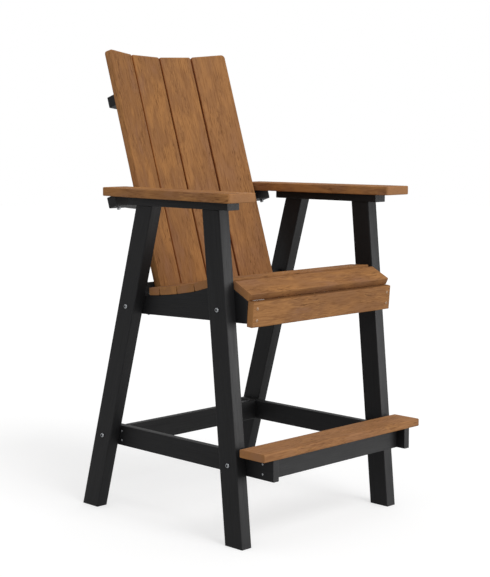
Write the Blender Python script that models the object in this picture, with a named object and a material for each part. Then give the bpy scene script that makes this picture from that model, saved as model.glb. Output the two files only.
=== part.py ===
"""A counter-height arm chair built from woodgrain and black boards.

Two splayed side frames carry a contoured slat seat, a reclined four-slat back
on curved braces, flat arms and a footrest. Metres, +Z up; the sitter faces -Y,
so the sitter's left side is +X.
"""

import math

import bmesh
import bpy
from mathutils import Matrix, Vector

# Fits
SEAT_GAP = 0.0003
HOLE_ROOM = 0.0005

# Edges of the boards
EDGE_ROUND = 0.003
RAIL_EDGE_ROUND = 0.002

# Legs
INNER_WIDTH = 0.5802
LEG_HEIGHT = 0.9144
LEG_THICKNESS = 0.0381
LEG_DEPTH = 0.0662
FRONT_FOOT_Y = -0.3097
FRONT_LEAN = math.radians(5.43)
REAR_LEG_SETBACK = 0.0497
REAR_LEAN = math.radians(-15.92)

# Seat
SEAT_FRONT_Y = -0.3296
SEAT_FRONT_Z = 0.6714
SEAT_SLAT_WIDTH = 0.070
SEAT_SLAT_GAP = 0.004
SEAT_SLAT_THICKNESS = 0.0222
SEAT_SLOPES = [math.radians(slope) for slope in (-27.0, 2.6, 15.5, 10.3, 7.4, 4.7)]
SEAT_END_GAP = 0.0016
REAR_SLAT_WIDTH = 0.0425
REAR_SLAT_REVEAL = 0.003

# Seat rails and apron
RAIL_THICKNESS = 0.0222
SEAT_RAIL_DEPTH = 0.0595
SEAT_RAIL_FALL = math.radians(1.7)
SEAT_RAIL_TAIL = 0.021
SEAT_RAIL_STEP = 0.0045
APRON_THICKNESS = 0.0222
APRON_HEIGHT = 0.0704
APRON_LEAN = math.radians(4.7)
APRON_TOP_RISE = 0.0003
APRON_END_GAP = 0.003

# Back
BACK_TILT = math.radians(17.7)
BACK_RISE = 0.7375
BACK_SIDE_MARGIN = 0.0249
BACK_SLAT_GAP = 0.005
BACK_SLAT_THICKNESS = 0.0222
BACK_SLAT_TURN = math.radians(11.8)
BACK_OUTER_CORNER = 0.012
BACK_INNER_CORNER = 0.005

# Back braces
BRACE_HEIGHT = 0.033
BRACE_DEPTH = 0.042
EAR_DEPTH = 0.035
EAR_INSET = 0.0094
UPPER_BRACE_RISE = 0.577
UPPER_BRACE_INSET = 0.011

# Arms
ARM_FRONT_WIDTH = 0.103
ARM_REAR_WIDTH = 0.086
ARM_THICKNESS = 0.0254
ARM_INNER_LAP = 0.0171
ARM_FRONT_Y = -0.343
ARM_FRONT_CORNER = 0.008
ARM_REAR_CORNER = 0.004
ARM_BACK_GAP = 0.0015
ARM_OVERHANG = 0.009
SUPPORT_WIDTH = 0.044
SUPPORT_THICKNESS = 0.0222
SUPPORT_FRONT_REACH = 0.033
SUPPORT_REAR_REACH = 0.035

# Footrest
FOOT_RAIL_Z = 0.195
FOOT_RAIL_HEIGHT = 0.060
FOOT_RAIL_FRONT = 0.1345
FOOT_RAIL_TAIL = 0.0175
FOOTREST_WIDTH = 0.093
FOOTREST_THICKNESS = 0.0222
FOOTREST_NOSE = 0.005
STRETCHER_THICKNESS = 0.0222
FRONT_STRETCHER_SETBACK = 0.0285
REAR_STRETCHER_INSET = 0.032

# Bolts through the legs, the screws under the arms and the screws under the seat rails
BOLT_SHANK = 0.008
BOLT_HEAD = 0.0134
BOLT_HEAD_HEIGHT = 0.0036
BOLT_SOCKET = 0.0058
BOLT_SOCKET_DEPTH = 0.0024
BOLT_END = 0.0025
NUT_ACROSS_FLATS = 0.013
NUT_HEIGHT = 0.0065
WASHER = 0.0165
WASHER_THICKNESS = 0.0016
SEAT_BOLT_FRONT_RISE = 0.0365
SEAT_BOLT_REAR_RISE = 0.0235
FOOT_BOLT_RISE = 0.030
BOLT_CROWN = 0.65
ARM_SCREW_SHANK = 0.006
ARM_SCREW_HEAD = 0.010
ARM_SCREW_HEAD_HEIGHT = 0.0066
ARM_SCREW_BITE = 0.014
ARM_SCREW_INSET = 0.021
ARM_WASHER = 0.0125
BRACE_SCREW_SHANK = 0.005
BRACE_SCREW_HEAD = 0.0095
BRACE_SCREW_HEAD_HEIGHT = 0.0048
BRACE_SCREW_SINK = 0.0014
BRACE_SCREW_BITE = 0.022
BRACE_SCREW_SETBACK = 0.007

ROUND_STEPS = 24
HOLE_STEPS = 16
ARC_STEPS = 10

SIDES = {"left": 1, "right": -1}
HALF_INNER = INNER_WIDTH / 2
LEG_OUTER = HALF_INNER + LEG_THICKNESS
RAIL_OUTER = HALF_INNER - SEAT_GAP
RAIL_INNER = RAIL_OUTER - RAIL_THICKNESS
RAIL_X = RAIL_OUTER - RAIL_THICKNESS / 2

# The outline plane of a piece drawn from the side: its own X runs along Y, its own Y up
SIDE_PLANE = Matrix.Rotation(math.pi / 2, 4, "Z") @ Matrix.Rotation(math.pi / 2, 4, "X")


def material(name, colour, roughness, metallic=0.0):
    made = bpy.data.materials.new(name)
    made.use_nodes = True
    shader = made.node_tree.nodes["Principled BSDF"]
    shader.inputs["Base Color"].default_value = (*colour, 1.0)
    shader.inputs["Roughness"].default_value = roughness
    shader.inputs["Metallic"].default_value = metallic
    return made


def clear_scene():
    for obj in list(bpy.data.objects):
        bpy.data.objects.remove(obj, do_unlink=True)


def add(name, mesh_data, look, placed, root):
    """An object for a finished mesh, hung on the chair's reference point."""
    mesh = bpy.data.meshes.new(name)
    mesh_data.normal_update()
    mesh_data.to_mesh(mesh)
    mesh_data.free()
    mesh.materials.append(look)
    mesh.shade_smooth()
    mesh.set_sharp_from_angle(angle=math.radians(40))
    obj = bpy.data.objects.new(name, mesh)
    bpy.context.scene.collection.objects.link(obj)
    obj.parent = root
    obj.matrix_local = placed
    return obj


def combine(obj, other, operation):
    step = obj.modifiers.new(other.name, "BOOLEAN")
    step.operation = operation
    step.solver = "EXACT"
    step.object = other


def drill(obj, cutter):
    combine(obj, cutter, "DIFFERENCE")


def fuse(obj, other):
    combine(obj, other, "UNION")


def hidden(obj):
    obj.hide_render = True
    obj.display_type = "WIRE"
    return obj


def plank(outline, thickness, edge_round, rounded=None, steps=2):
    """A flat outline carried through the thickness, its edges rounded over.

    The outline is drawn anticlockwise in X and Y, and the plank is centred on
    Z. rounded(start, end) picks the sides whose edges are rounded.
    """
    shape = bmesh.new()
    low = [shape.verts.new((x, y, -thickness / 2)) for x, y in outline]
    face = shape.faces.new(low)
    pulled = bmesh.ops.extrude_face_region(shape, geom=[face])["geom"]
    top = [item for item in pulled if isinstance(item, bmesh.types.BMVert)]
    bmesh.ops.translate(shape, verts=top, vec=(0, 0, thickness))
    bmesh.ops.recalc_face_normals(shape, faces=shape.faces)
    rims = []
    for edge in shape.edges:
        start, end = (vert.co for vert in edge.verts)
        level = abs(start.z - end.z) < thickness / 2
        if level and (rounded is None or rounded(start, end)):
            rims.append(edge)
    bmesh.ops.bevel(
        shape, geom=rims, offset=edge_round, offset_type="OFFSET",
        segments=steps, profile=0.5, affect="EDGES", clamp_overlap=True,
    )
    return shape


def along_x(start, end):
    return abs(start.y - end.y) < abs(start.x - end.x)


def along_y(start, end):
    return not along_x(start, end)


def board(length, width, thickness, edge_round):
    """A board with its length on X and its long edges rounded over, sawn square at both ends."""
    x = length / 2
    y = width / 2
    outline = [(-x, -y), (x, -y), (x, y), (-x, y)]
    return plank(outline, thickness, edge_round, along_x)


def eased(points, radii, steps):
    """A convex outline drawn anticlockwise, with each corner rounded by its own radius."""
    outline = []
    for i, (radius, point) in enumerate(zip(radii, points)):
        at = Vector(point)
        back = (Vector(points[i - 1]) - at).normalized()
        ahead = (Vector(points[(i + 1) % len(points)]) - at).normalized()
        half = back.angle(ahead) / 2
        centre = at + (back + ahead).normalized() * radius / math.sin(half)
        spoke = at + back * radius / math.tan(half) - centre
        sweep = math.pi - 2 * half
        for step in range(steps + 1):
            turned_spoke = Matrix.Rotation(sweep * step / steps, 2) @ spoke
            outline.append(tuple(centre + turned_spoke))
    return outline


def turned(profile, steps=ROUND_STEPS):
    """A profile of (radius, height) points turned about Z, from the top down."""
    shape = bmesh.new()
    verts = [shape.verts.new((radius, 0, height)) for radius, height in profile]
    for upper, lower in zip(verts, verts[1:]):
        shape.edges.new((upper, lower))
    bmesh.ops.spin(
        shape, geom=shape.edges[:] + shape.verts[:], cent=(0, 0, 0), axis=(0, 0, 1),
        angle=2 * math.pi, steps=steps, use_merge=True, use_duplicate=False,
    )
    bmesh.ops.remove_doubles(shape, verts=shape.verts, dist=1e-6)
    bmesh.ops.recalc_face_normals(shape, faces=shape.faces)
    return shape


def hexagon(across_flats, bottom, top, turn=0.0):
    """A six-sided prism about Z between two heights."""
    shape = bmesh.new()
    radius = across_flats / math.sqrt(3)
    bmesh.ops.create_cone(
        shape, cap_ends=True, segments=6, radius1=radius, radius2=radius, depth=top - bottom,
        matrix=Matrix.Translation((0, 0, (top + bottom) / 2)) @ Matrix.Rotation(turn, 4, "Z"),
    )
    return shape


def rod(radius, bottom, top, steps=HOLE_STEPS):
    """A plain round bar about Z between two heights."""
    shape = bmesh.new()
    bmesh.ops.create_cone(
        shape, cap_ends=True, segments=steps, radius1=radius, radius2=radius,
        depth=top - bottom, matrix=Matrix.Translation((0, 0, (top + bottom) / 2)),
    )
    return shape


def leg_y(foot_y, lean, z):
    """The leg's centre line at a height."""
    return foot_y + math.tan(lean) * z


def leg_span(lean):
    """The leg's depth measured level, half to each side of its centre line."""
    return LEG_DEPTH / math.cos(lean) / 2


# The seat's underside, from the front: one corner before and after each slat


def seat_corners():
    pitch = SEAT_SLAT_WIDTH + SEAT_SLAT_GAP
    y, z = SEAT_FRONT_Y, SEAT_FRONT_Z
    corners = [(y, z)]
    for slope in SEAT_SLOPES[:-1]:
        y += pitch * math.cos(slope)
        z -= pitch * math.sin(slope)
        corners.append((y, z))
    return corners


SEAT_CORNERS = seat_corners()
REAR_SLOPE = SEAT_SLOPES[-1]
REAR_SLAT_REACH = SEAT_SLAT_GAP / 2 + REAR_SLAT_WIDTH
SEAT_END_Y = SEAT_CORNERS[-1][0] + REAR_SLAT_REACH * math.cos(REAR_SLOPE)
SEAT_END_Z = SEAT_CORNERS[-1][1] - REAR_SLAT_REACH * math.sin(REAR_SLOPE)

# Where the legs stand: the rear ones cross the seat's level just behind its last slat

REAR_FOOT_Y = SEAT_END_Y + REAR_LEG_SETBACK - math.tan(REAR_LEAN) * SEAT_END_Z
LEGS = {"front": (FRONT_FOOT_Y, FRONT_LEAN), "rear": (REAR_FOOT_Y, REAR_LEAN)}

# The back in plan: X across and N towards the sitter, on a chain of four flats.
# Each flat turns by BACK_SLAT_TURN from the next, so the inner two are turned by
# half of it and the outer two by one and a half times it.

INNER_TURN = BACK_SLAT_TURN / 2
OUTER_TURN = 1.5 * BACK_SLAT_TURN
BACK_PITCH = (
    RAIL_INNER - BACK_SIDE_MARGIN
    - BACK_SLAT_THICKNESS * math.sin(OUTER_TURN)
    + BACK_SLAT_GAP / 2 * math.cos(OUTER_TURN)
) / (math.cos(INNER_TURN) + math.cos(OUTER_TURN))
BACK_SLAT_WIDTH = BACK_PITCH - BACK_SLAT_GAP
FRONT_RADIUS = BACK_PITCH / (2 * math.sin(INNER_TURN))


def flat_point(turn, along, behind):
    """A point on a flat of the +X half: along it from its inner end, and behind its face."""
    start = (0.0, 0.0)
    if turn == OUTER_TURN:
        start = (BACK_PITCH * math.cos(INNER_TURN), BACK_PITCH * math.sin(INNER_TURN))
    x = start[0] + along * math.cos(turn) + behind * math.sin(turn)
    n = start[1] + along * math.sin(turn) - behind * math.cos(turn)
    return x, n


OUTER_EDGE = BACK_PITCH - BACK_SLAT_GAP / 2
BACK_CORNER_X, BACK_CORNER_N = flat_point(OUTER_TURN, OUTER_EDGE, 0)
BACK_EDGE_X = flat_point(OUTER_TURN, OUTER_EDGE, BACK_SLAT_THICKNESS)[0]
BRACE_SEAT = BACK_SLAT_THICKNESS + SEAT_GAP
EAR_X, EAR_N = flat_point(OUTER_TURN, OUTER_EDGE, BRACE_SEAT)
EAR_MIDDLE_N = EAR_N - EAR_DEPTH / 2

# The back's foot. The lower brace's ears stand on the seat rails, a step above the
# last seat slat's seat, and the outer slats pass just behind that slat.

BACK_UP = Vector((0, math.sin(BACK_TILT), math.cos(BACK_TILT)))
BACK_FACING = Vector((0, -math.cos(BACK_TILT), math.sin(BACK_TILT)))


def back_foot():
    """Where the back's middle line meets the lower brace's underside."""
    lean = math.tan(BACK_TILT)
    fall = math.tan(REAR_SLOPE)
    ear_y = EAR_N * math.cos(BACK_TILT)
    ear_z = EAR_N * math.sin(BACK_TILT)
    reach = SEAT_END_Y + REAR_SLAT_REVEAL + BACK_CORNER_N / math.cos(BACK_TILT)
    rise = (ear_y + SEAT_END_Y) * fall + SEAT_RAIL_STEP - ear_z
    y = (reach + lean * rise) / (1 + fall * lean)
    z = SEAT_END_Z - (y - ear_y - SEAT_END_Y) * fall + SEAT_RAIL_STEP - ear_z
    return Vector((0, y, z))


BACK_FOOT = back_foot()


def back_point(x, n, rise):
    return BACK_FOOT + Vector((x, 0, 0)) + n * BACK_FACING + rise * BACK_UP


# Levels above the legs

SUPPORT_Z = LEG_HEIGHT + SEAT_GAP
ARM_Z = SUPPORT_Z + SUPPORT_THICKNESS + SEAT_GAP
ARM_FRONT_X = HALF_INNER - ARM_INNER_LAP
EAR_TOP_Z = ARM_Z - SEAT_GAP
ARM_BRACE_TOP = (
    (EAR_TOP_Z - BACK_FOOT.z - EAR_MIDDLE_N * math.sin(BACK_TILT)) / math.cos(BACK_TILT)
)
ARM_BRACE_RISE = ARM_BRACE_TOP - BRACE_HEIGHT


def arm_corners():
    """The +X arm in plan, anticlockwise from its inner front corner.

    The inner edge runs straight back past the outer slat's edge; the arm
    narrows to its rear end, just behind the brace's ear.
    """
    beside = back_point(0, BACK_CORNER_N - BACK_SLAT_THICKNESS, 0)
    beside += (ARM_Z + ARM_THICKNESS - beside.z) / math.cos(BACK_TILT) * BACK_UP
    rear_y = back_point(0, EAR_N - EAR_DEPTH, ARM_BRACE_TOP).y + ARM_OVERHANG
    slant = (BACK_EDGE_X + ARM_BACK_GAP - ARM_FRONT_X) / (beside.y - ARM_FRONT_Y)
    rear_x = ARM_FRONT_X + slant * (rear_y - ARM_FRONT_Y)
    return [
        (ARM_FRONT_X, ARM_FRONT_Y),
        (ARM_FRONT_X + ARM_FRONT_WIDTH, ARM_FRONT_Y),
        (rear_x + ARM_REAR_WIDTH, rear_y),
        (rear_x, rear_y),
    ]


ARM_CORNERS = arm_corners()
EAR_END_X = ARM_CORNERS[2][0] - EAR_INSET


def make_legs(look, root):
    legs = {}
    for end, (foot_y, lean) in LEGS.items():
        half = leg_span(lean)
        top_y = leg_y(foot_y, lean, LEG_HEIGHT)
        outline = [
            (foot_y - half, 0),
            (foot_y + half, 0),
            (top_y + half, LEG_HEIGHT),
            (top_y - half, LEG_HEIGHT),
        ]
        for side, sign in SIDES.items():
            shape = plank(outline, LEG_THICKNESS, EDGE_ROUND, along_y)
            x = sign * (HALF_INNER + LEG_THICKNESS / 2)
            placed = Matrix.Translation((x, 0, 0)) @ SIDE_PLANE
            legs[end, side] = add(f"{end}_leg_{side}", shape, look, placed, root)
    return legs


def apron_frame():
    """The apron's top front corner and its two directions, down its face and through it.

    Its top reaches under the first slat's rounded edge, so that no light shows between them.
    """
    front_y, front_z = SEAT_CORNERS[0]
    through = Vector((0, math.cos(APRON_LEAN), math.sin(APRON_LEAN)))
    down = Vector((0, math.sin(APRON_LEAN), -math.cos(APRON_LEAN)))
    under_slat = front_z - SEAT_SLAT_GAP * math.tan(SEAT_SLOPES[0])
    top_back = Vector((0, front_y + SEAT_SLAT_GAP, under_slat + APRON_TOP_RISE))
    return top_back - APRON_THICKNESS * through, down, through


def rail_bottom(y):
    """The seat rail's lower edge, which falls slightly to the rear."""
    front_y, front_z = SEAT_CORNERS[0]
    return front_z - SEAT_RAIL_DEPTH - math.tan(SEAT_RAIL_FALL) * (y - front_y)


def seat_bolt(end):
    """Where a seat rail crosses a leg's centre line, in y and z."""
    foot_y, lean = LEGS[end]
    rise = {"front": SEAT_BOLT_FRONT_RISE, "rear": SEAT_BOLT_REAR_RISE}[end]
    fall = math.tan(SEAT_RAIL_FALL)
    z = (rail_bottom(0) + rise - fall * foot_y) / (1 + fall * math.tan(lean))
    return leg_y(foot_y, lean, z), z


def foot_bolt(end):
    foot_y, lean = LEGS[end]
    z = FOOT_RAIL_Z + FOOT_BOLT_RISE
    return leg_y(foot_y, lean, z), z


def seat_rail_outline():
    """The rail seen from the side: a flat under each seat slat, and a slope for the brace's ear."""
    top, down, through = apron_frame()
    behind = top + (APRON_THICKNESS + SEAT_GAP) * through
    foot = behind + (behind.z - rail_bottom(behind.y)) / math.cos(APRON_LEAN) * down
    crest_y, crest_z = SEAT_CORNERS[1]
    nose_z = crest_z - math.tan(SEAT_SLOPES[0]) * (behind.y - crest_y)
    tail_y = seat_bolt("rear")[0] + SEAT_RAIL_TAIL
    ear = back_point(0, EAR_N, -SEAT_GAP)
    tail_z = ear.z - (tail_y - ear.y) * math.tan(BACK_TILT)
    step_y = ear.y - SEAT_RAIL_STEP
    step_z = SEAT_END_Z - (step_y - SEAT_END_Y) * math.tan(REAR_SLOPE)
    outline = [(foot.y, rail_bottom(foot.y)), (tail_y, rail_bottom(tail_y))]
    outline += [(tail_y, tail_z), (ear.y, ear.z), (step_y, step_z)]
    outline += reversed(SEAT_CORNERS[1:])
    return outline + [(behind.y, nose_z)]


def make_seat(brown, black, root):
    rails = {}
    outline = seat_rail_outline()
    for side, sign in SIDES.items():
        shape = plank(outline, RAIL_THICKNESS, RAIL_EDGE_ROUND)
        placed = Matrix.Translation((sign * RAIL_X, 0, 0)) @ SIDE_PLANE
        rails[side] = add(f"seat_rail_{side}", shape, black, placed, root)

    length = INNER_WIDTH - 2 * SEAT_END_GAP
    lift = SEAT_SLAT_THICKNESS / 2 + SEAT_GAP
    for number, (slope, corner_at) in enumerate(zip(SEAT_SLOPES, SEAT_CORNERS), start=1):
        if number == len(SEAT_SLOPES):
            shape = rear_seat_slat(length)
            along = SEAT_SLAT_GAP / 2
        else:
            shape = board(length, SEAT_SLAT_WIDTH, SEAT_SLAT_THICKNESS, EDGE_ROUND)
            along = (SEAT_SLAT_WIDTH + SEAT_SLAT_GAP) / 2
        y = corner_at[0] + along * math.cos(slope) + lift * math.sin(slope)
        z = corner_at[1] - along * math.sin(slope) + lift * math.cos(slope)
        placed = Matrix.Translation((0, y, z)) @ Matrix.Rotation(-slope, 4, "X")
        add(f"seat_slat_{number}", shape, brown, placed, root)

    top, down, through = apron_frame()
    shape = board(INNER_WIDTH - 2 * APRON_END_GAP, APRON_HEIGHT, APRON_THICKNESS, EDGE_ROUND)
    centre = top + APRON_HEIGHT / 2 * down + APRON_THICKNESS / 2 * through
    placed = Matrix.Translation(centre) @ Matrix.Rotation(math.pi / 2 + APRON_LEAN, 4, "X")
    add("seat_apron", shape, brown, placed, root)
    return rails


def rear_seat_slat(length):
    """The last seat slat: its rear edge is cut in flats that follow the back slats."""
    half = length / 2
    level = 1 / math.cos(BACK_TILT)
    knee_x, knee_n = flat_point(OUTER_TURN, 0, 0)
    knee = REAR_SLAT_WIDTH + (BACK_CORNER_N - knee_n) * level
    bay = REAR_SLAT_WIDTH + BACK_CORNER_N * level
    rear = [(half, REAR_SLAT_WIDTH), (BACK_CORNER_X, REAR_SLAT_WIDTH), (knee_x, knee)]
    mirrored = [(-x, y) for x, y in reversed(rear)]
    outline = [(-half, 0), (half, 0)] + rear + [(0, bay)] + mirrored
    return plank(outline, SEAT_SLAT_THICKNESS, EDGE_ROUND, along_x)


def make_back_slats(look, root):
    half = BACK_SLAT_WIDTH / 2
    points = [(-half, 0), (half, 0), (half, BACK_RISE), (-half, BACK_RISE)]
    small, large = BACK_INNER_CORNER, BACK_OUTER_CORNER
    rows = [
        (OUTER_TURN, -1, (small, small, small, large)),
        (INNER_TURN, -1, (small, small, small, small)),
        (INNER_TURN, 1, (small, small, small, small)),
        (OUTER_TURN, 1, (small, small, large, small)),
    ]
    for number, (turn, sign, radii) in enumerate(rows, start=1):
        shape = plank(eased(points, radii, 4), BACK_SLAT_THICKNESS, EDGE_ROUND)
        x, n = flat_point(turn, BACK_PITCH / 2, BACK_SLAT_THICKNESS / 2)
        placed = (
            Matrix.Translation(back_point(sign * x, n, 0))
            @ Matrix.Rotation(-BACK_TILT, 4, "X")
            @ Matrix.Rotation(-sign * turn, 4, "Z")
            @ Matrix.Rotation(math.pi / 2, 4, "X")
        )
        add(f"back_slat_{number}", shape, look, placed, root)


def brace_outline(ear_end=None):
    """The +X half of a brace in plan: flats for the slats in front, a bow behind.

    With ear_end the brace runs straight on past the slats in an ear; without
    it the brace is cut off square, just inside the outer slat's edge.
    """
    mitre = BRACE_SEAT / math.cos(INNER_TURN)
    knee_x, knee_n = flat_point(OUTER_TURN, 0, 0)
    front = [
        (0, -mitre),
        (knee_x + mitre * math.sin(BACK_SLAT_TURN), knee_n - mitre * math.cos(BACK_SLAT_TURN)),
    ]
    bow_radius = FRONT_RADIUS * math.cos(INNER_TURN) + BRACE_SEAT + BRACE_DEPTH
    if ear_end is None:
        end_x = BACK_CORNER_X - UPPER_BRACE_INSET
        short = (EAR_X - end_x) / math.cos(OUTER_TURN)
        front.append(flat_point(OUTER_TURN, OUTER_EDGE - short, BRACE_SEAT))
        last = math.asin(end_x / bow_radius)
    else:
        ear_rear = EAR_N - EAR_DEPTH
        front += [(EAR_X, EAR_N), (ear_end, EAR_N), (ear_end, ear_rear)]
        last = math.acos((FRONT_RADIUS - ear_rear) / bow_radius)
    sweep = [last * step / ARC_STEPS for step in range(ARC_STEPS, -1, -1)]
    bow = [(bow_radius * math.sin(a), FRONT_RADIUS - bow_radius * math.cos(a)) for a in sweep]
    return front + bow


def make_brace(name, rise, look, root, ear_end=None):
    half = brace_outline(ear_end)
    mirrored = [(-x, n) for x, n in reversed(half[1:-1])]
    outline = [(x, -n) for x, n in reversed(half + mirrored)]
    shape = plank(outline, BRACE_HEIGHT, RAIL_EDGE_ROUND)
    foot = back_point(0, 0, rise + BRACE_HEIGHT / 2)
    placed = Matrix.Translation(foot) @ Matrix.Rotation(-BACK_TILT, 4, "X")
    return add(name, shape, look, placed, root)


def make_braces(look, root):
    make_brace("upper_back_brace", UPPER_BRACE_RISE, look, root)
    lower_brace = make_brace("lower_back_brace", 0, look, root, RAIL_OUTER)
    arm_brace = make_brace("arm_back_brace", ARM_BRACE_RISE, look, root, EAR_END_X)
    planed = bmesh.new()
    bmesh.ops.create_cube(planed, size=1)
    planed.transform(Matrix.Diagonal((3 * EAR_END_X, 9 * BRACE_DEPTH, BRACE_HEIGHT, 1)))
    ear = back_point(0, EAR_MIDDLE_N, ARM_BRACE_TOP)
    placed = Matrix.Translation((0, ear.y, EAR_TOP_Z + BRACE_HEIGHT / 2))
    drill(arm_brace, hidden(add("ear_planing", planed, look, placed, root)))
    return lower_brace, arm_brace


def make_arms(brown, black, root):
    front_y = leg_y(FRONT_FOOT_Y, FRONT_LEAN, LEG_HEIGHT) - leg_span(FRONT_LEAN)
    rear_y = leg_y(REAR_FOOT_Y, REAR_LEAN, LEG_HEIGHT) + leg_span(REAR_LEAN)
    start = front_y - SUPPORT_FRONT_REACH
    end = rear_y + SUPPORT_REAR_REACH
    arms = {}
    radii = [ARM_FRONT_CORNER, ARM_FRONT_CORNER, ARM_REAR_CORNER, ARM_REAR_CORNER]
    arm_outline = eased(ARM_CORNERS, radii, 6)
    for side, sign in SIDES.items():
        shape = board(end - start, SUPPORT_WIDTH, SUPPORT_THICKNESS, RAIL_EDGE_ROUND)
        centre = (
            sign * (LEG_OUTER - SUPPORT_WIDTH / 2),
            (start + end) / 2,
            SUPPORT_Z + SUPPORT_THICKNESS / 2,
        )
        placed = Matrix.Translation(centre) @ Matrix.Rotation(math.pi / 2, 4, "Z")
        add(f"arm_support_{side}", shape, black, placed, root)

        outline = [(sign * x, y) for x, y in arm_outline][::sign]
        shape = plank(outline, ARM_THICKNESS, EDGE_ROUND)
        placed = Matrix.Translation((0, 0, ARM_Z + ARM_THICKNESS / 2))
        arms[side] = add(f"arm_{side}", shape, brown, placed, root)
    return arms


def make_footrest(brown, black, root):
    start = foot_bolt("front")[0] - FOOT_RAIL_FRONT
    end = foot_bolt("rear")[0] + FOOT_RAIL_TAIL
    middle_z = FOOT_RAIL_Z + FOOT_RAIL_HEIGHT / 2
    rails = {}
    for side, sign in SIDES.items():
        shape = board(end - start, FOOT_RAIL_HEIGHT, RAIL_THICKNESS, RAIL_EDGE_ROUND)
        placed = Matrix.Translation((sign * RAIL_X, (start + end) / 2, middle_z)) @ SIDE_PLANE
        rails[side] = add(f"foot_rail_{side}", shape, black, placed, root)

    shape = board(2 * LEG_OUTER, FOOTREST_WIDTH, FOOTREST_THICKNESS, EDGE_ROUND)
    top = FOOT_RAIL_Z + FOOT_RAIL_HEIGHT + SEAT_GAP + FOOTREST_THICKNESS / 2
    placed = Matrix.Translation((0, start - FOOTREST_NOSE + FOOTREST_WIDTH / 2, top))
    add("footrest_board", shape, brown, placed, root)

    length = 2 * (RAIL_INNER - SEAT_GAP)
    half = STRETCHER_THICKNESS / 2
    spots = {
        "footrest_stretcher": start + FRONT_STRETCHER_SETBACK + half,
        "rear_stretcher": foot_bolt("rear")[0] - REAR_STRETCHER_INSET - half,
    }
    for name, y in spots.items():
        shape = board(length, FOOT_RAIL_HEIGHT, STRETCHER_THICKNESS, RAIL_EDGE_ROUND)
        upright = Matrix.Rotation(math.pi / 2, 4, "X")
        add(name, shape, black, Matrix.Translation((0, y, middle_z)) @ upright, root)
    return rails


def leg_bolt():
    """A round-headed bolt with a six-sided socket; its head stands above Z = 0."""
    grip = LEG_THICKNESS + SEAT_GAP + RAIL_THICKNESS
    end = -(grip + 3 * SEAT_GAP + WASHER_THICKNESS + NUT_HEIGHT + BOLT_END)
    head = BOLT_HEAD / 2
    shank = BOLT_SHANK / 2
    chamfer = BOLT_SHANK / 8
    crown = [
        (head * math.sin(a), SEAT_GAP + BOLT_HEAD_HEIGHT * (1 - BOLT_CROWN * (1 - math.cos(a))))
        for a in (0.6, 0.95, 1.25, math.pi / 2)
    ]
    profile = [(0, SEAT_GAP + BOLT_HEAD_HEIGHT)] + crown
    profile += [(head, SEAT_GAP), (shank, SEAT_GAP), (shank, end + chamfer)]
    profile += [(shank - chamfer, end), (0, end)]
    return turned(profile)


def make_bolts(steel, root, legs, seat_rails, foot_rails):
    socket = hexagon(BOLT_SOCKET, SEAT_GAP + BOLT_HEAD_HEIGHT - BOLT_SOCKET_DEPTH, LEG_THICKNESS)
    grip = LEG_THICKNESS + SEAT_GAP + RAIL_THICKNESS
    bore = BOLT_SHANK / 2 + HOLE_ROOM
    for side, sign in SIDES.items():
        outward = Matrix.Rotation(sign * math.pi / 2, 4, "Y")
        for level, rails, place in (("seat", seat_rails, seat_bolt), ("foot", foot_rails, foot_bolt)):
            for end in LEGS:
                y, z = place(end)
                placed = Matrix.Translation((sign * LEG_OUTER, y, z)) @ outward
                where = f"{level}_{end}_{side}"

                cutter = rod(bore, -2 * grip, grip)
                cutter = hidden(add(f"bore_{where}", cutter, steel, placed, root))
                drill(legs[end, side], cutter)
                drill(rails[side], cutter)

                bolt = add(f"bolt_{where}", leg_bolt(), steel, placed, root)
                key = hidden(add(f"socket_{where}", socket.copy(), steel, placed, root))
                drill(bolt, key)

                face = -(grip + SEAT_GAP)
                flange = rod(WASHER / 2, face - WASHER_THICKNESS, face, ROUND_STEPS)
                nut = add(f"nut_{where}", flange, steel, placed, root)
                body = hexagon(
                    NUT_ACROSS_FLATS,
                    face - WASHER_THICKNESS - NUT_HEIGHT,
                    face - WASHER_THICKNESS / 2,
                )
                fuse(nut, hidden(add(f"nut_body_{where}", body, steel, placed, root)))
                drill(nut, cutter)
    socket.free()


def make_arm_screws(steel, root, arm_brace, arms):
    """A hexagon-headed screw up through each ear into the arm above it, square to the ear."""
    x = EAR_END_X - ARM_SCREW_INSET
    shank = ARM_SCREW_SHANK / 2
    tip = BRACE_HEIGHT + ARM_SCREW_BITE
    for side, sign in SIDES.items():
        foot = back_point(sign * x, EAR_MIDDLE_N, ARM_BRACE_RISE)
        placed = Matrix.Translation(foot) @ Matrix.Rotation(-BACK_TILT, 4, "X")
        cutter = rod(shank + HOLE_ROOM, -BRACE_HEIGHT, tip + HOLE_ROOM)
        cutter = hidden(add(f"bore_arm_{side}", cutter, steel, placed, root))
        drill(arm_brace, cutter)
        drill(arms[side], cutter)
        profile = [(0, tip), (shank / 2, tip), (shank, tip - shank), (shank, -SEAT_GAP)]
        profile += [(ARM_WASHER / 2, -SEAT_GAP), (ARM_WASHER / 2, -SEAT_GAP - WASHER_THICKNESS)]
        profile += [(0, -SEAT_GAP - WASHER_THICKNESS)]
        screw = add(f"arm_screw_{side}", turned(profile), steel, placed, root)
        low = -SEAT_GAP - WASHER_THICKNESS - ARM_SCREW_HEAD_HEIGHT
        head = hexagon(ARM_SCREW_HEAD, low, -SEAT_GAP - WASHER_THICKNESS / 2)
        head = hidden(add(f"head_arm_{side}", head, steel, placed, root))
        fuse(screw, head)


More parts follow.
